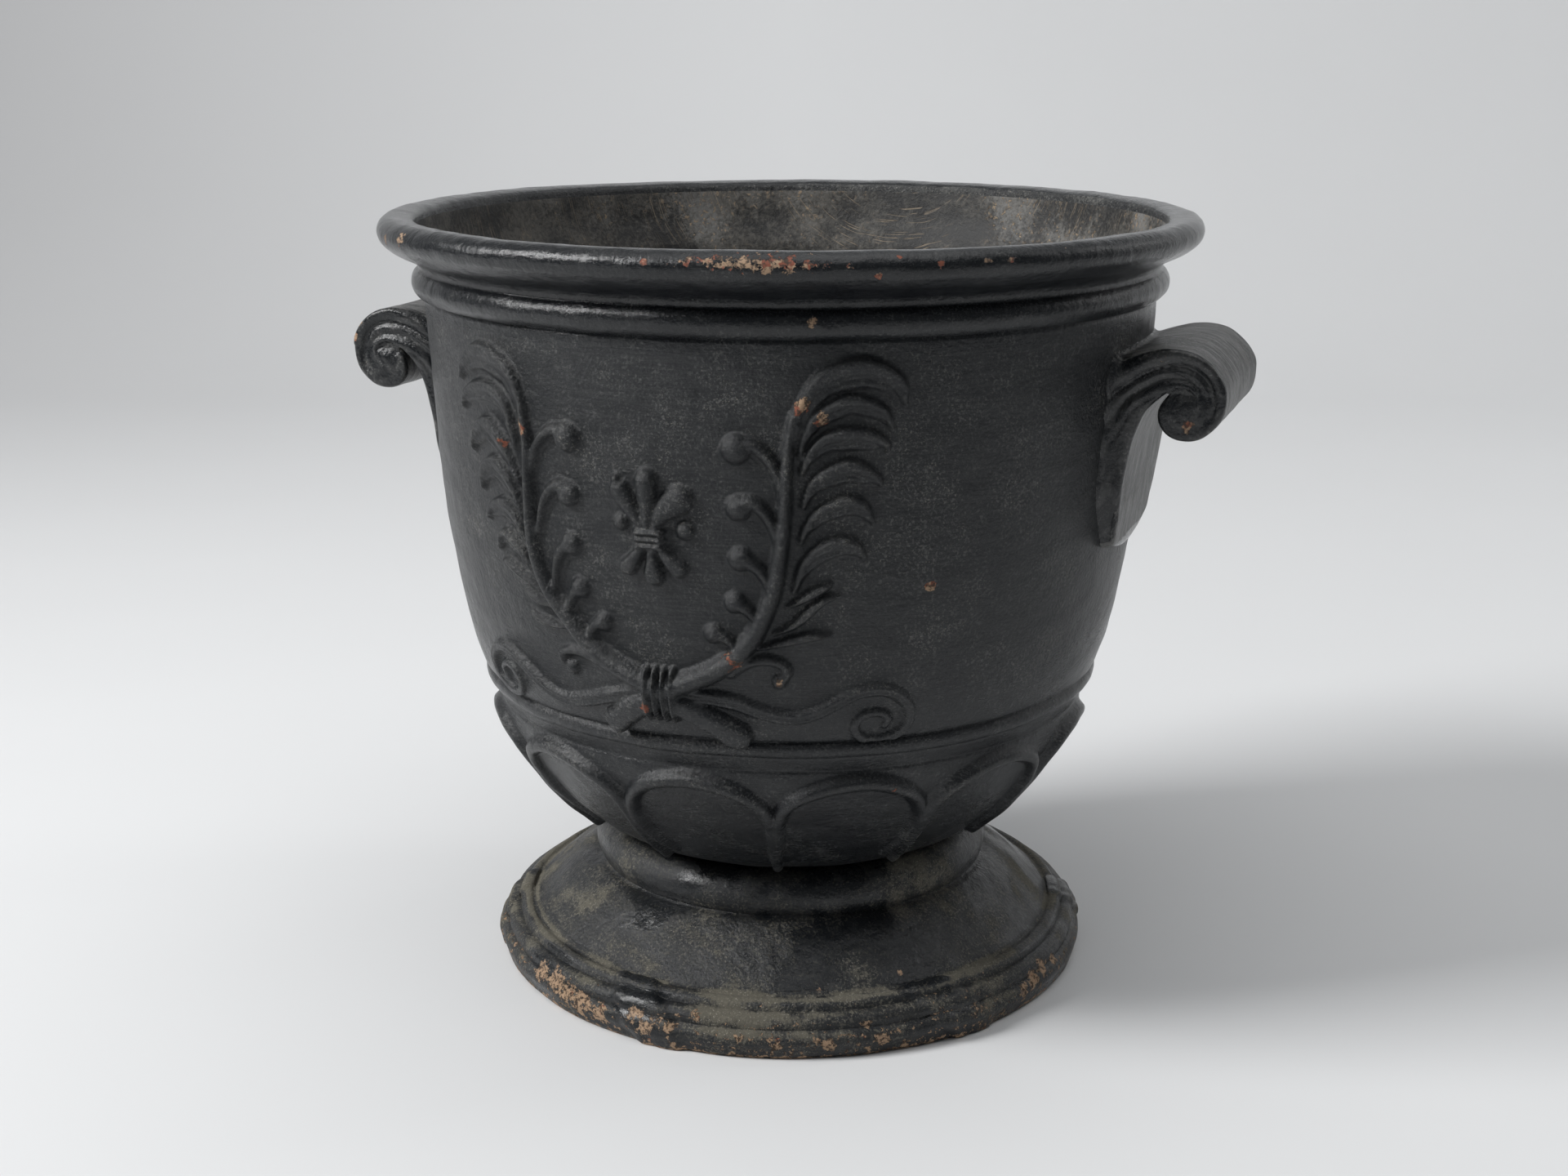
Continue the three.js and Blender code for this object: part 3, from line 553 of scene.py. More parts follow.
inside_wall = through([(218, 450.5), (216.6, 444), (213.6, 432), (208.6, 420), (205.6, 408), (203.2, 360),
                       (200.2, 308), (197.2, 280), (193.6, 256), (189.6, 232), (185, 212), (179.6, 194),
                       (172, 172), (163, 152), (152, 134), (138, 116), (124, 103), (114, floor_top)])
floor = [(114, floor_top), (28, floor_top), (26, boss_top), (bolt_bore, boss_top)]
spigot_end = bowl_seat - spigot_depth
underneath = [(bolt_bore, boss_top), (bolt_bore, spigot_end), (spigot_radius, spigot_end),
              (spigot_radius, bowl_seat), (seat_radius, bowl_seat)]
carved = np.linspace(-46, 46, 385)[:-1]
plain = np.linspace(46, 134, 161)[:-1]
bowl_casting = Turned(
    [(cup, 1.1, 1), (band, 0.8, 2), (wall, 0.9, 1), (moulding, 0.8, 2), (inside_wall, 3.2, 4), (floor, 4, 8),
     (underneath, 4, 8)], np.concatenate([carved, plain, carved + 180, plain + 180]))

# The wreath's two branches, in degrees out from its middle and millimetres above the floor. A leaf is
# its upper edge and greatest width, a stalk its line and its berry's radius and place, a curl its
# line and its ball's place and radius, and the end is the sawn stem below the ties.
right_branch = {
    "stem": [(0.5, 221), (3.6, 226), (7.5, 232), (11.2, 240.5), (13.8, 250), (15.8, 262), (17.6, 278),
             (18.6, 296), (19.3, 318), (19.6, 341), (19.9, 358), (20.6, 373)],
    "leaves": [
        ([(20, 360), (20.5, 373), (22.2, 388), (24.7, 397.8), (29.2, 402.8), (33, 399.6), (36, 390),
          (36.4, 376.7)], 16),
        ([(21.2, 352), (21.4, 362), (23.2, 374), (27.2, 383), (30.6, 382.4), (33.6, 375.6),
          (34.7, 364.4)], 10),
        ([(21.3, 344), (22.2, 354), (24.6, 364), (28.4, 367.4), (31.8, 365), (34.2, 357),
          (33.7, 352.4)], 12),
        ([(21.5, 326), (22.2, 336), (24.4, 345.4), (28.2, 350.8), (31.2, 346.6), (33.2, 339),
          (33, 335)], 12),
        ([(21.2, 307), (22, 317), (24.4, 326.6), (28, 331.8), (30.7, 328), (32, 319), (31.9, 315.6)], 10.5),
        ([(20.3, 280), (21.2, 294), (23.8, 305.6), (27.2, 310.2), (29.8, 307), (31, 300),
          (30.8, 295.6)], 10.5),
        ([(19.6, 272), (22, 279.4), (24, 283.4), (26.3, 285.4)], 4.6),
        ([(17.5, 257), (20.4, 264), (23.4, 275.4), (25.4, 278.6), (27.4, 278)], 5.6),
        ([(15.4, 248.6), (19, 254), (23, 257.6), (26.6, 256.4)], 3.6)],
    "stalks": [
        ([(19.2, 326), (18.4, 342), (16.8, 353), (14.8, 358.4), (12.9, 358)], 8, (12.8, 356)),
        ([(18.9, 298), (18, 313), (16.5, 323.4), (14.8, 328.4), (13.2, 327)], 6.9, (13.1, 325)),
        ([(17.8, 276), (16.9, 286), (15.7, 293), (13.7, 298)], 6.5, (13.2, 298)),
        ([(15.6, 259), (15, 266), (13.8, 271), (12.4, 274)], 6.1, (12.3, 274)),
        ([(12.4, 243), (11.8, 250), (10.6, 254), (9, 256)], 5.6, (8.9, 256))],
    "tendril": [(3, 219), (8.8, 217.8), (12.3, 215.6), (15.5, 211.3), (18.7, 208.3), (21.4, 207.8),
                (24.5, 211), (27.8, 217), (30.6, 221.4), (33.4, 222.8), (36.2, 220.8), (38.2, 215.4),
                (39.4, 208), (39.2, 200.6), (37.4, 194.4), (34.6, 192), (31.7, 194.4), (30.4, 200.6),
                (31.4, 207), (33.8, 209.2), (35.9, 205.8), (35.4, 201)],
    "curl": ([(11.2, 233), (13.6, 239), (16.4, 241.6), (18.8, 239.6), (19.8, 235), (18.8, 230)],
             (18.6, 229), 3.8),
    "end": ([(1, 216), (6.4, 207.4), (11.8, 196.4)], [5.6, 6.6, 8.2]),
}
left_branch = {
    "stem": [(0.5, 221), (3.4, 226), (7, 231), (10.5, 238), (12.9, 245), (15.1, 254), (17.8, 265),
             (19.6, 277), (20.6, 292), (20.8, 312), (20.5, 335), (20.2, 352), (21, 369)],
    "leaves": [
        ([(20.3, 354), (20.2, 368), (21.4, 383), (23.6, 392.8), (28.4, 399.6), (32.6, 397), (36, 386),
          (36.9, 376.5)], 16),
        ([(22.2, 346), (22.8, 358), (24.4, 372), (28, 379.2), (32.4, 377.6), (36, 369), (36.8, 360.5)], 12),
        ([(22.2, 328), (23.4, 337), (25.6, 350), (29, 360), (32.2, 356), (34.4, 345), (34.4, 338)], 14),
        ([(22, 309), (23, 320), (25, 332), (27.8, 339.4), (31, 334.4), (32.6, 325), (32.6, 317)], 13),
        ([(21.3, 291), (22.2, 301), (24.3, 312.2), (27, 316.6), (30, 312.4), (31.6, 305),
          (31.6, 300.6)], 11.5),
        ([(20.3, 274), (21.5, 283), (23.4, 292), (26.4, 299), (28.8, 294.6), (29.6, 285)], 9),
        ([(19.4, 266), (22.4, 274.4), (24.9, 279.5), (27, 281.9), (29.2, 280)], 6),
        ([(18.2, 259), (21, 264.5), (24, 269)], 4.2),
        ([(16, 249), (19.4, 251.5), (21.8, 253), (23.8, 256)], 3.8)],
    "stalks": [
        ([(19.8, 336), (18.8, 347), (17.1, 355), (15, 359), (12.9, 358)], 8, (12.8, 356)),
        ([(19.4, 302), (18, 318), (16.2, 326.4), (14.6, 329.4), (13.2, 327)], 6.9, (13.1, 325)),
        ([(17.4, 272), (16.4, 284), (15.4, 292), (13.7, 298)], 6.5, (13.2, 298)),
        ([(15.4, 257), (14.5, 265), (13.4, 271), (12.3, 274)], 6.1, (12.3, 274)),
        ([(12, 243), (11.2, 250), (10.2, 254), (8.9, 256)], 5.6, (8.9, 256))],
    "tendril": [(3, 218), (7, 214.6), (11, 210.6), (15.4, 206), (20, 203.6), (23.6, 207), (26.8, 213.4),
                (29.8, 219), (33, 223), (36.2, 222.4), (39, 217.4), (40.4, 209.6), (40, 202.4), (37.6, 197),
                (34.6, 195.4), (32.4, 198.8), (31.8, 205), (33.2, 211), (35.6, 212), (37.2, 208),
                (36.4, 203)],
    "curl": ([(10.2, 231), (13.4, 235), (16.2, 235.4), (18.2, 232), (17.8, 227.4)], (16.4, 225), 4.3),
    "end": ([(1, 216), (5.4, 207.4), (9.8, 196.6)], [6, 7, 7.6]),
}


def leaf_shape(inward, width):
    """Height across a leaf from its crisp upper edge: a broad fold, a groove, and a narrow fold.
    A slender leaf is one plain roll."""
    across = np.array([0, 0.05, 0.14, 0.26, 0.4, 0.5, 0.58, 0.64, 0.7, 0.8, 0.9, 1.0])
    height = np.array([0.3, 0.86, 1.0, 0.97, 0.88, 0.76, 0.52, 0.42, 0.58, 0.62, 0.42, 0.0])
    roll = np.sqrt(np.clip(1 - (2 * inward / width - 1) ** 2, 0, 1))
    return np.where(width > 7, np.interp(inward / width, across, height), roll)


def leaf(edge, width, hand):
    line = bowl_casting.on_skin(edge, WALL)
    window = bowl_casting.around(line, width + 2, WALL)
    away, along, side = measure(bowl_casting.places[window], line)
    widths = max(width, 5) * spaced([0.26, 0.52, 0.8, 1, 1.05, 1, 0.74, 0.12], along) + 0.01
    rise = spaced([3.6, 4.4, 5, 5.4, 5.2, 4.6, 3.4], along)
    square = np.abs(side) > 0.9 * away
    inward = hand * side
    inside = (inward > 0) & (inward < widths) & square
    bowl_casting.raise_by(window, np.where(inside, rise * leaf_shape(inward, widths), 0))


def double_roll(across):
    """Two rolls side by side, as the tendrils are carved."""
    return (1 - across**2) ** 0.5 * (1 - 0.42 * np.exp(-(across / 0.24) ** 2))


def blunt(across):
    return (1 - across**4) ** 0.5


def turned(line, turn, hand=1):
    return [(turn + hand * degrees, height) for degrees, height in line]


def branch(parts, hand, turn):
    for edge, width in parts["leaves"]:
        leaf(turned(edge, turn, hand), width, hand)
    tendril_widths = [4.6, 4.6, 4.3, 3.8, 3.6, 3.4, 3.2, 2.6, 2]
    tendril = turned(parts["tendril"], turn, hand)
    bowl_casting.strand(tendril, tendril_widths, [4.2, 4.4, 4.2, 3.8, 3], WALL, double_roll)
    line, place, radius = parts["curl"]
    bowl_casting.strand(turned(line, turn, hand), [2.6, 3, 3, 3.2], 3.8, WALL)
    bowl_casting.ball(turn + hand * place[0], place[1], radius + 0.5, WALL)
    for line, radius, place in parts["stalks"]:
        bowl_casting.strand(turned(line, turn, hand), [2.2, 2.7, 3.4, 4.2], [3.4, 4.2, 5, 5.4], WALL)
        bowl_casting.ball(turn + hand * place[0], place[1], radius, WALL)
    line, widths = parts["end"]
    bowl_casting.strand(turned(line, turn, hand), widths, [7.4, 7.2, 7.6], WALL, blunt, cut=hand == -1)
    stem_widths = [6.4, 6.2, 5.9, 5.4, 4.9, 4.5, 4.1, 3.8, 3.4, 3, 2.4]
    stem_rises = [8.6, 8, 7.4, 6.8, 6.4, 6.2, 6, 5.6, 4.8]
    bowl_casting.strand(turned(parts["stem"], turn, hand), stem_widths, stem_rises, WALL)


def palmette(turn):
    """A bud between two leaves over a bound waist, with a ball at each side and three feet below."""
    def petal(line, widths, rises, shape=lambda across: (1 - across**2) ** 0.5):
        bowl_casting.strand(turned(line, turn), widths, rises, WALL, shape)
    petal([(-0.2, 310), (-0.2, 324), (-0.2, 337.5)], [2.2, 3, 4.4, 5.8, 6.2], [4.6, 5, 5.6, 6.6, 6.8])
    petal([(-1.1, 313), (-3, 323), (-4.4, 331)], [2.6, 4, 5.2, 6], [4, 4.8, 5.4, 5.8])
    petal([(-4.6, 333), (-4.9, 337)], 2.8, 4.4)
    petal([(0.8, 312), (2.4, 322), (4.6, 328)], [2.8, 4.8, 7, 7.8], [4, 4.8, 5.6, 5.6])
    bowl_casting.ball(turn - 4.5, 313.6, 4.6, WALL)
    bowl_casting.ball(turn + 5.4, 311.6, 5, WALL)
    for place, end, width in ((-1.1, -3.5, 5), (0.3, 0.5, 5.8), (1.6, 4.3, 5)):
        petal([(place, 302), ((place + end) / 2, 295.6), (end, 286 + 1.2 * abs(end))], [2.6, 3.6, width],
              [4.6, 5.2, 5.8, 5.4], blunt)
    for height in (302.6, 306.2, 309.8):
        petal([(-1.9, height), (0, height + 0.4), (1.9, height)], 2.1, 6.4)


for turn in (0, 180):
    branch(right_branch, 1, turn)
    branch(left_branch, -1, turn)
    palmette(turn)
    for wrap in (-2.2, -0.8, 0.6, 2):
        line = turned([(0, 204), (0.1, 218), (0, 232.5)], turn + wrap)
        bowl_casting.strand(line, [2, 2.5, 2], [6, 9.6, 10.6, 9.6, 6], WALL)

# The lobes: an arch of (degrees along it, height), run both ways from the darts at 17 and 197.
lobe_width = 30
lobe_arch = [(0.2, 97), (0.4, 120), (0.9, 138), (2.3, 149), (5.4, 157), (10, 162), (15, 163.8), (20, 162),
             (24.6, 156), (27.6, 147), (29.2, 137), (29.3, 124), (28.4, 112), (26.6, 102)]
for dart in (17, 197):
    for hand in (1, -1):
        for lobe in range(3):
            bowl_casting.strand(turned(lobe_arch, dart + hand * lobe_width * lobe, hand),
                                [3.2, 4.2, 4.7, 4.8, 4.8, 4.7, 3.6], [5.4, 5.6, 5.6, 5.4, 5.2, 5, 2.4], CUP)
bowl_casting.soften(1)

bowl, bowl_stretch = bowl_casting.mesh("iron_bowl", [(55, 0.34, 3), (12, 0.17, 4)])
is_inside = (bowl_stretch == INSIDE) | (bowl_stretch == FLOOR)
bowl.data.materials.append(black_paint("bowl_black_paint", 0.34, 0.68, 0.6, grey_dust))
bowl.data.materials.append(None)
bowl.data.polygons.foreach_set("material_index", is_inside.astype(np.int32))
stud_places = [(hand, hand * across) for hand in (1, -1) for across in (-stud_spread / 2, stud_spread / 2)]
for start, end, radius, how in ((0, 14, pad_radius, "UNION"), (-6, 40, stud_bore, "DIFFERENCE")):
    near, far = pad_face + start, pad_face + end
    work(bowl, [rod((hand * near, y, stud_height), (hand * far, y, stud_height), radius)
                for hand, y in stud_places], how)
work(bowl, drains(spigot_end, boss_top), "DIFFERENCE")


def earth_stained():
    """The inside: old paint under a brown bloom of earth, with scratches and specks of lime, and a grey haze
    that is partly real bloom and partly painted light.
    """
    f = Finish("earth_stained_iron")
    dust = f.read("dust")
    patches, grain, fine = f.noise(46, 7, 0.62), f.noise(2.6, 6, 0.68), f.noise(0.8, 2)
    bloom = f.noise(90, 4, 0.6)
    lines = []
    for seed, lean in enumerate((0.5, -0.9, 1.6)):
        turn = f.add("ShaderNodeMapping", {"Vector": f.places, "Rotation": (lean, 0.7 * lean, 0.3 + seed),
                                           "Scale": (38, 2300, 38)})
        lines.append(f.step(f.noise(1.0, 2, 0.4, turn.outputs[0], unit=1), 0.67, 0.69))
    scratches = f.times(f.step(f.noise(60, 3), 0.46, 0.58), f.sum(*[(line, 0.8) for line in lines]))
    old_paint = f.step(f.sum((patches, 1.0), (grain, 0.6)), 0.66, 0.95)
    colour = f.mix(old_paint, (0.011, 0.011, 0.011), (0.1, 0.094, 0.083))
    # The grey haze is real bloom in patches, and where it follows the dust mark it is painted light on the
    # inner wall that faces the key; the lime leans the same way.
    haze_and_painted_light = f.step(f.sum((bloom, 1.8), (patches, 0.9), (grain, 0.9), (dust, 0.6)), 1.8, 2.6)
    colour = f.mix(haze_and_painted_light, colour, (0.24, 0.24, 0.235))
    colour = f.mix(f.times(scratches, 0.7), colour, (0.34, 0.27, 0.19))
    limed = f.step(f.sum((bloom, 0.7), (patches, 0.7), (dust, 0.3)), 0.64, 0.84)
    lime = f.times(f.step(f.noise(3.4, 8, 0.75), 0.56, 0.6), limed)
    colour = f.mix(f.times(lime, 0.85), colour, (0.38, 0.28, 0.18))
    f.set(Base_Color=colour, Roughness=f.sum(0.3, (grain, 0.3), (patches, 0.3)))
    f.bump(f.sum((grain, 0.6), (patches, 0.8), (fine, 0.12), (scratches, -0.15), (lime, 0.2)))
    return f.material


bowl.data.materials[1] = earth_stained()
bowl_points = points_of(bowl)
bowl_height = bowl_points[:, 2]
bowl_reach = np.hypot(bowl_points[:, 0], bowl_points[:, 1])
rim_edge = np.clip(1 - np.abs(bowl_height - 452) / 9, 0, 1) * (bowl_reach > 224)
bowl_turn = turn_of(bowl_points)
front_rim = np.exp(-((bowl_turn - 16.5) / 9.5) ** 4) + 0.3 * np.exp(-(((bowl_turn + 160) / 30) ** 2))
bowl_knocks = rim_edge * (0.16 + 0.48 * front_rim)
bowl_chips = [
    (-40, 238, 451, 7), (-47, 239, 449, 5), (38, 239, 450, 3.4), (23, 221, 422, 4), (27, 239, 451, 3.6),
    (30.5, 239.6, 446, 3), (44, 239, 451, 3.4), (47, 239, 451, 2.8), (33, 237, 454, 2.6),
    (3, 239, 452, 3), (21.6, 216, 379, 7), (24.4, 216, 371, 7), (-21.2, 216, 357, 6), (-24.6, 215, 348, 5),
    (11.8, 202, 241, 8), (8, 201, 231, 5), (18.6, 203, 229, 4), (-2.4, 203, 211, 4), (41, 207, 279, 5),
    (38.3, 181, 160, 3), (110, 239, 450, 10), (-120, 239, 450, 12)]
bowl_knocks = np.maximum(bowl_knocks, spots(bowl_points, [on_ring(*chip) for chip in bowl_chips]))
# Dust by height, which also sets the gloss: the cup, rim and bead are kept clean, and the lower wall is kept
# darker than the upper wall as painted shade.
bowl_dust_and_painted_light = np.interp(bowl_height, [86, 92, 100, 150, 192, 205, 260, 400, 410, 457],
                      [0.3, 0.0, -0.2, -0.2, -0.2, -0.18, -0.02, 0.02, -0.35, -0.5])
is_within = bowl_reach < np.interp(bowl_height, inside_wall[::-1, 1], inside_wall[::-1, 0]) + 2
# Inside, the dust mark rises towards turn 125 and falls away opposite: the haze it brings to the inner wall
# that faces the key is painted light, and the darker wall opposite is painted shade.
bowl_dust_and_painted_light = np.where(is_within, 0.35 * np.cos(np.radians(bowl_turn - 125)), bowl_dust_and_painted_light)
finish_casting(bowl, "bowl", bowl_knocks, bowl_dust_and_painted_light, brushed_round(bowl_points))


# ---------------------------------------------------------------- the handles
# Two iron scrolls, cast alike, each as wide as a hand. On both sides two grooves run from the
# console over the arm and in to the eye. Each is bolted to the bowl by two studs in its back, and
# paint fills the joint. Strokes of the brush show along the broad face.

handle_width = 113
edge_round, top_round = 2.6, 13
wall_fillet, top_fillet = 6, 4
outline_step, stroke_length = 1.3, 14
stud_end = 225.5
# The side's outline and its lines, as (distance from the axis, height).
console_edge = through([(207.8, 282.4), (209.4, 286), (211, 297), (212.6, 309), (214.2, 322.6),
                        (216, 334.3), (218.4, 345), (221.6, 354), (225.2, 360.2), (229, 364.8),
                        (232.2, 368), (235.2, 370.2)])
scroll_edge = through([(236.4, 369.6), (234.2, 367), (232.2, 363.6), (231.1, 359.4), (231.9, 353.6),
                       (235.6, 348.4), (241.4, 345.4), (248.6, 344.8), (254.8, 346.6), (260, 350.4),
                       (264.4, 355.6), (267, 361.6), (267.8, 368.9), (266.7, 376.4), (261.3, 384.7),
                       (253, 391.4), (244.2, 394.1), (233.3, 394.4), (224.6, 393), (213.7, 390),
                       (201.7, 385.5), (190, 380), (168, 368)])
underside = [(168, 275.5), (196, 279.4), (204, 281)]
side_outline = evenly(np.vstack([underside, console_edge, scroll_edge]), outline_step)
closed_outline = np.vstack([side_outline, side_outline[:1]])
upper_groove = through([(186, 334), (197.9, 353.3), (201.6, 360.3), (206.9, 367.4), (213.3, 373.4),
                        (219.8, 378.2), (227.3, 382.2), (236, 384.6), (243.6, 385.3), (250.2, 383.5),
                        (255.8, 379.2), (259.4, 372.8), (260.9, 365.2), (258.8, 357)])
lower_groove = through([(190, 326), (202.1, 346.8), (207.3, 356.2), (213.6, 365.6), (221.2, 371.6),
                        (229.8, 376.6), (236.3, 378.4), (241.7, 378.9), (247.2, 378), (251.7, 375.6),
                        (255.1, 371.5), (256.5, 367.1), (255.4, 361)])
top_edge = scroll_edge[16 * 6:][::-1]  # from its 17th point on, with 6 steps between two points
band_edge = through([(238.4, 371.2), (240.9, 372.6), (244.2, 373), (247.5, 372.3), (250.9, 369.5),
                     (252.4, 365)])
console_crease = through([(193, 314), (199.5, 326.2), (202.6, 333.3), (206.8, 342.6), (210.9, 350.2),
                          (215.1, 357.8), (219.3, 362.6), (224.7, 366.3), (231, 369.8)])


def beside(places, line):
    """As measure does, for places and a line on the handle's side."""
    return measure(np.insert(places, 2, 0, axis=1), np.insert(line, 2, 0, axis=1), (0, 0, 1))


def within(places, outline):
    """Which places are inside an outline, by counting the edges to the right of them."""
    ends = np.roll(outline, -1, axis=0)
    x, z = places[:, :1], places[:, 1:]
    crosses = (outline[:, 1] > z) != (ends[:, 1] > z)
    rise = np.where(outline[:, 1] == ends[:, 1], 1, ends[:, 1] - outline[:, 1])
    meets = outline[:, 0] + (z - outline[:, 1]) * (ends[:, 0] - outline[:, 0]) / rise
    return (crosses & (x < meets)).sum(axis=1) % 2 == 1


def side_sunk(places):
    """How far the carved side stands in from the handle's full width."""
    from_edge, _, _ = beside(places, closed_outline)
    near_top = np.interp(places[:, 0], *top_edge.T) - places[:, 1] < 16
    round_by = np.where(near_top, np.interp(places[:, 0], [206, 238], [top_round, edge_round]), edge_round)
    rounded = round_by - np.sqrt(round_by**2 - np.clip(round_by - from_edge, 0, None) ** 2)
    sunk = np.zeros(len(places))
    for line, depth in ((upper_groove, 2.0), (lower_groove, 1.6)):
        away, along, _ = beside(places, line)
        fade = spaced([1, 1, 1, 1, 1, 0.9, 0.3], along)
        sunk += fade * (depth * np.exp(-(away / 1.7) ** 2) + 0.9 * np.exp(-(away / 5) ** 2))
    away, along, side = beside(places, band_edge)
    step = np.where(side > 0, np.exp(-(away / 6.5) ** 2), np.exp(-(away / 0.8) ** 2))
    sunk += 2.9 * spaced([0.8, 1, 1, 0.8, 0.4, 0], along) * step
    away, _, side = beside(places, console_crease)
    below = (side > 0) & (places[:, 1] < 371)
    sunk += 0.9 * np.exp(-(away / 0.9) ** 2) + 0.7 * below * (1 - np.exp(-away / 1.5))
    return np.minimum(sunk, 5) + rounded


def side_skin():
    """The side's points, with its outline first, and the triangles between them."""
    ahead = np.roll(side_outline, -1, axis=0) - np.roll(side_outline, 1, axis=0)
    inward = np.column_stack([-ahead[:, 1], ahead[:, 0]]) / np.linalg.norm(ahead, axis=1)[:, None]
    points = [side_outline]
    for inset in (0.4, 1.1, 2):
        ring = side_outline + inward * inset
        points.append(ring[within(ring, side_outline) & (beside(ring, closed_outline)[0] > 0.85 * inset)])
    grid = np.stack(np.meshgrid(np.arange(168, 270, 1.1), np.arange(275, 396, 1.1)), -1).reshape(-1, 2)
    grid = grid[within(grid, side_outline)]
    points.append(grid[beside(grid, closed_outline)[0] > 2.7])
    points = np.vstack(points)
    count = len(side_outline)
    found = delaunay_2d_cdt([Vector(place) for place in points], [], [list(range(count))], 1, 1e-4)
    numbers = [origin[0] for origin in found[3]]
    return points, [[numbers[k] for k in face] for face in found[2]]


def wall_reach(height):
    return np.interp(height, wall[:, 1], wall[:, 0])


def fillet(gap, size):
    return 0.8 * size * (1 - np.clip(gap / size, 0, 1)) ** 2


def handle_shape(seed):
    """Two carved sides and the broad face that joins them, narrowed to a tongue at the console's
    tip and flared where they meet the wall."""
    flat, triangles = side_skin()
    count, half = len(side_outline), handle_width / 2
    width = half - side_sunk(flat)
    across = np.linspace(-1, 1, 90)[1:-1]
    edge = np.repeat(side_outline, len(across), axis=0)
    broad = np.column_stack([edge[:, 0], np.outer(width[:count], across).ravel(), edge[:, 1]])
    near, far = (np.column_stack([flat[:, 0], hand * width, flat[:, 1]]) for hand in (-1, 1))
    points = np.vstack([near, far, broad])
    x, y, z = points.T
    tongue = np.clip((318 - z) / 38, 0, 1) ** 1.5
    z = z - 8 * tongue * (1 - (y / half) ** 2)
    y = y * (1 - 0.19 * tongue)
    reach, turn = np.hypot(x, y), np.arctan2(y, x)
    near_top = np.clip(1 - (np.interp(x, *top_edge.T) - z) / 14, 0, 1) * (x < 222)
    z = z + near_top * fillet(reach - wall_reach(z), top_fillet)
    turn *= 1 + (1 - tongue) * fillet(reach - wall_reach(z), wall_fillet) / half
    points = np.column_stack([reach * np.cos(turn), reach * np.sin(turn), z])
    points += 0.24 * np.column_stack([lumps(points, size, seed + size) for size in (15, 17, 19)])
    first = 2 * len(flat)
    faces = list(triangles) + [[len(flat) + k for k in face[::-1]] for face in triangles]
    for i in range(count):
        j = (i + 1) % count
        here = [i] + list(range(first + i * len(across), first + (i + 1) * len(across))) + [len(flat) + i]
        there = [j] + list(range(first + j * len(across), first + (j + 1) * len(across))) + [len(flat) + j]
        faces += [[there[k], here[k], here[k + 1], there[k + 1]] for k in range(len(here) - 1)]
    return points, faces


def bowl_core():
    """The space that the bowl's wall takes out of a handle's back."""
    levels, sides, paint_thickness = np.linspace(250, 412, 40), 360, 0.8
    reach = np.repeat(wall_reach(levels) - paint_thickness, sides)
    turn = np.tile(np.radians(np.arange(sides)), len(levels))
    points = np.column_stack([reach * np.cos(turn), reach * np.sin(turn), np.repeat(levels, sides)])
    last = len(points) - sides
    faces = [[i + k, i + (k + 1) % sides, i + sides + (k + 1) % sides, i + sides + k]
             for i in range(0, last, sides) for k in range(sides)]
    return points, faces + [list(range(sides))[::-1], list(range(last, len(points)))]


handle_chips = {
    "handle_right": [(247.3, -57, 353.8, 6), (236, -52, 393, 2.5), (258, -57, 350, 2)],
    "handle_left": [(266, 57, 376, 4), (262, 55, 384, 3), (256, 60, 352, 3)],
}
handle_paint = black_paint("brushed_black_paint", 0.34, 0.8, 0.6, (0.2, 0.198, 0.19), 3.2)
for number, (name, chips) in enumerate(handle_chips.items()):
    points, faces = handle_shape(number)
    handle = joined("iron_" + name, points * mm, faces)
    handle.data.materials.append(handle_paint)
    work(handle, [bowl_core()], "DIFFERENCE")
    work(handle, [rod((190, y, stud_height), (stud_end, y, stud_height), stud_bore)
                  for y in (-stud_spread / 2, stud_spread / 2)], "DIFFERENCE")
    points = points_of(handle)
    from_edge, along, _ = beside(points[:, [0, 2]], closed_outline)
    length = outline_step * len(side_outline)
    broad = np.clip((handle_width / 2 - 2 - np.abs(points[:, 1])) / 3, 0, 1) * (from_edge < 2)
    brush = np.column_stack([along * length / stroke_length, from_edge * 0.15, points[:, 1] * 0.38])
    knocks = np.maximum(spots(points, chips), 0.12)
    dust = -0.45 + broad * 0.5
    joint = np.hypot(points[:, 0], points[:, 1]) < wall_reach(points[:, 2]) + 4
    if name == "handle_left":
        handle.data.transform(Matrix.Rotation(math.pi, 4, "Z"))
    finish_casting(handle, name, knocks, dust, brush, joint)


# ---------------------------------------------------------------- the fasteners
# Steel studs, nuts and washers, and the long bolt through the floor. They have been wet under
# earth for years, so they are dark and scaled with rust.

def old_steel():
    f = Finish("old_steel")
    scale, grain, patches = f.noise(1.6, 6, 0.7), f.noise(0.5, 3), f.noise(9, 5, 0.6)
    rust = f.step(f.sum((patches, 1.0), (scale, 0.5)), 0.62, 0.9)
    colour = f.mix(f.step(scale, 0.4, 0.62), (0.05, 0.026, 0.014), (0.17, 0.07, 0.028))
    f.set(Base_Color=f.mix(rust, (0.07, 0.06, 0.052), colour), Metallic=f.step(rust, 0.0, 0.5, 0.7, 0.0))
    f.set(Roughness=f.sum(0.5, (rust, 0.35), (grain, 0.1)))
    f.bump(f.sum((scale, 0.35), (grain, 0.08), (rust, 0.15)))
    return f.material


steel = old_steel()
for name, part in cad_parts.items():
    if name not in ("foot", "bowl", "handle_right", "handle_left"):
        part.data.materials.clear()
        part.data.materials.append(steel)


# ---------------------------------------------------------------- floor, light and camera
# A pale paper sweep under the urn and up behind it, a large soft light high on the left with three
# weaker ones, and a camera that looks down from a little above the rim.

camera_turn = 20.3
camera_distance, camera_height, camera_pitch = 1242.8, 565.4, 15.28
focal_pixels, image_width, axis_pixels_right = 2555.3, 1920, 8.3
sensor_width = 36


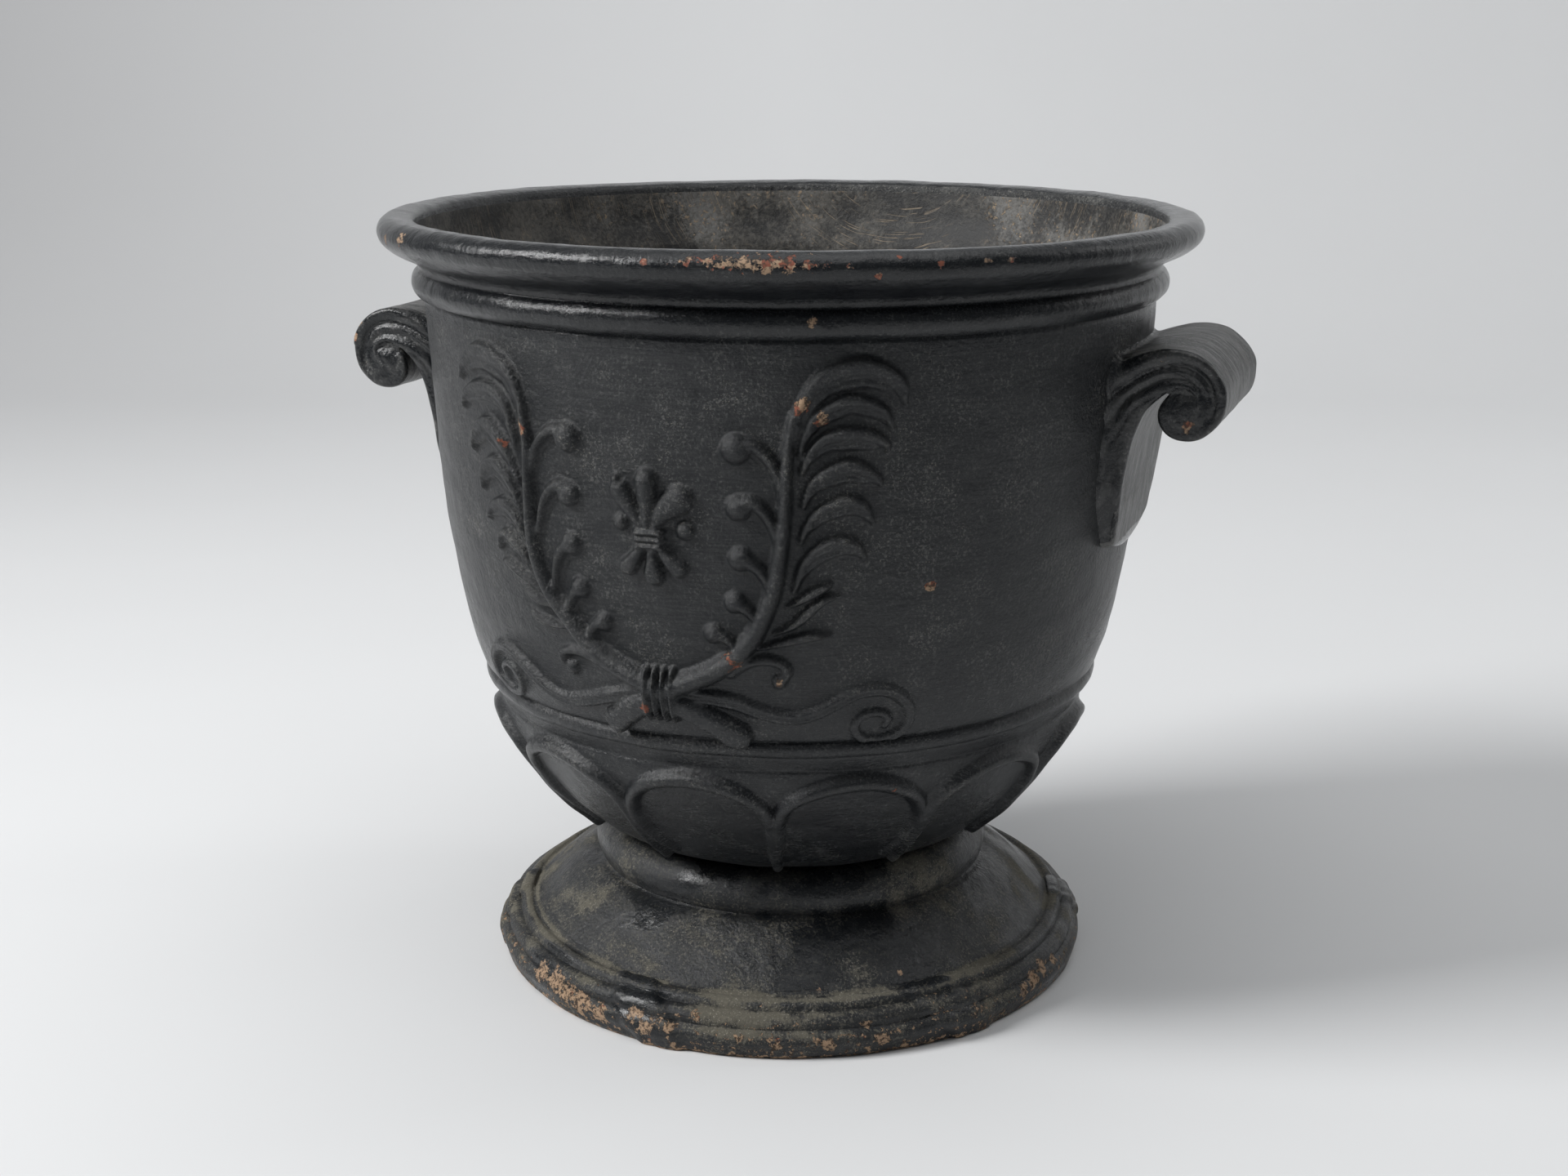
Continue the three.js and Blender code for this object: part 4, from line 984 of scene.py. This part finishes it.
def from_camera(right, back, up):
    """A place given to the right of the urn and behind it, as the camera sees it."""
    turn = math.radians(camera_turn)
    return (right * math.cos(turn) - back * math.sin(turn), right * math.sin(turn) + back * math.cos(turn),
            up)


def paper():
    f = Finish("paper_sweep")
    tone = f.mix(f.noise(400, 2), (0.72, 0.725, 0.73), (0.745, 0.75, 0.755))
    f.set(Base_Color=f.mix(f.read("shade"), (0.3, 0.3, 0.305), tone), Roughness=0.85)
    f.bump(f.times(f.noise(1.2, 3), 0.02))
    return f.material


def paper_shade(side, back):
    """How much painted shade tones the paper down at a place: most at the back on the left."""
    left = np.interp(side, [-1.9, -0.1], [0.75, 0]) * np.interp(back, [0, 1.4, 2.6], [0, 0.72, 1])
    return float(np.interp(back, [0, 1.2, 3], [0, 0.06, 0.1]) + left)


def sweep():
    """Floor, bend and wall of the paper, as one sheet, with painted shade towards the back and the left."""
    bend = arc((1.9, 1.1), 1.1, -90, 0, 24)
    line = np.vstack([[(back, 0) for back in np.arange(-3, 1.9, 0.25)], bend, [(3.0, 4.2)]])
    sides = np.arange(-4.5, 4.6, 0.5)
    points = [from_camera(side, back, up) for back, up in line for side in sides]
    count = len(sides)
    faces = [[i * count + k, i * count + k + 1, (i + 1) * count + k + 1, (i + 1) * count + k]
             for i in range(len(line) - 1) for k in range(count - 1)]
    sheet = joined("paper_sweep", points, faces)
    sheet.data.polygons.foreach_set("use_smooth", np.ones(len(faces), bool))
    mark(sheet, "shade", np.array([1 - paper_shade(side, back) for back, up in line for side in sides]))
    sheet.data.materials.append(paper())


def soft_light(name, place, aim, size, power):
    lamp = bpy.data.lights.new(name, "AREA")
    lamp.shape, lamp.size, lamp.size_y = "RECTANGLE", size[0], size[1]
    lamp.energy = power
    light = bpy.data.objects.new(name, lamp)
    light.location = from_camera(*place)
    way = np.array(from_camera(*aim)) - np.array(light.location)
    level = math.hypot(way[0], way[1])
    light.rotation_euler = (math.atan2(level, -way[2]), 0, math.atan2(way[1], way[0]) - math.pi / 2)
    bpy.context.collection.objects.link(light)


sweep()
soft_light("key", (-3.87, -0.97, 3.2), (0, 0, 0.2), (1.6, 1.6), 240)
soft_light("overhead", (0.1, -0.3, 2.7), (0, 0, 0), (2.8, 2.6), 32)
soft_light("side_card", (2.6, 1.0, 1.1), (0, 0, 0.3), (1.6, 1.8), 4)
soft_light("backdrop_light", (2.4, 0.7, 1.9), (1.2, 3, 0.5), (1.0, 1.0), 14)

world = bpy.data.worlds.new("room")
bpy.context.scene.world = world
world.use_nodes = True
air = world.node_tree.nodes["Background"].inputs
air["Color"].default_value = (0.9, 0.95, 1.0, 1)
air["Strength"].default_value = 0.13

lens = bpy.data.cameras.new("camera")
lens.sensor_width = sensor_width
lens.lens = focal_pixels / image_width * sensor_width
lens.shift_x = -axis_pixels_right / image_width
camera = bpy.data.objects.new("camera", lens)
camera.location = from_camera(0, -camera_distance * mm, camera_height * mm)
camera.rotation_euler = (math.radians(90 - camera_pitch), 0, math.radians(camera_turn))
bpy.context.collection.objects.link(camera)
bpy.context.scene.camera = camera
bpy.context.scene.view_settings.view_transform = "Standard"

bpy.context.view_layer.update()
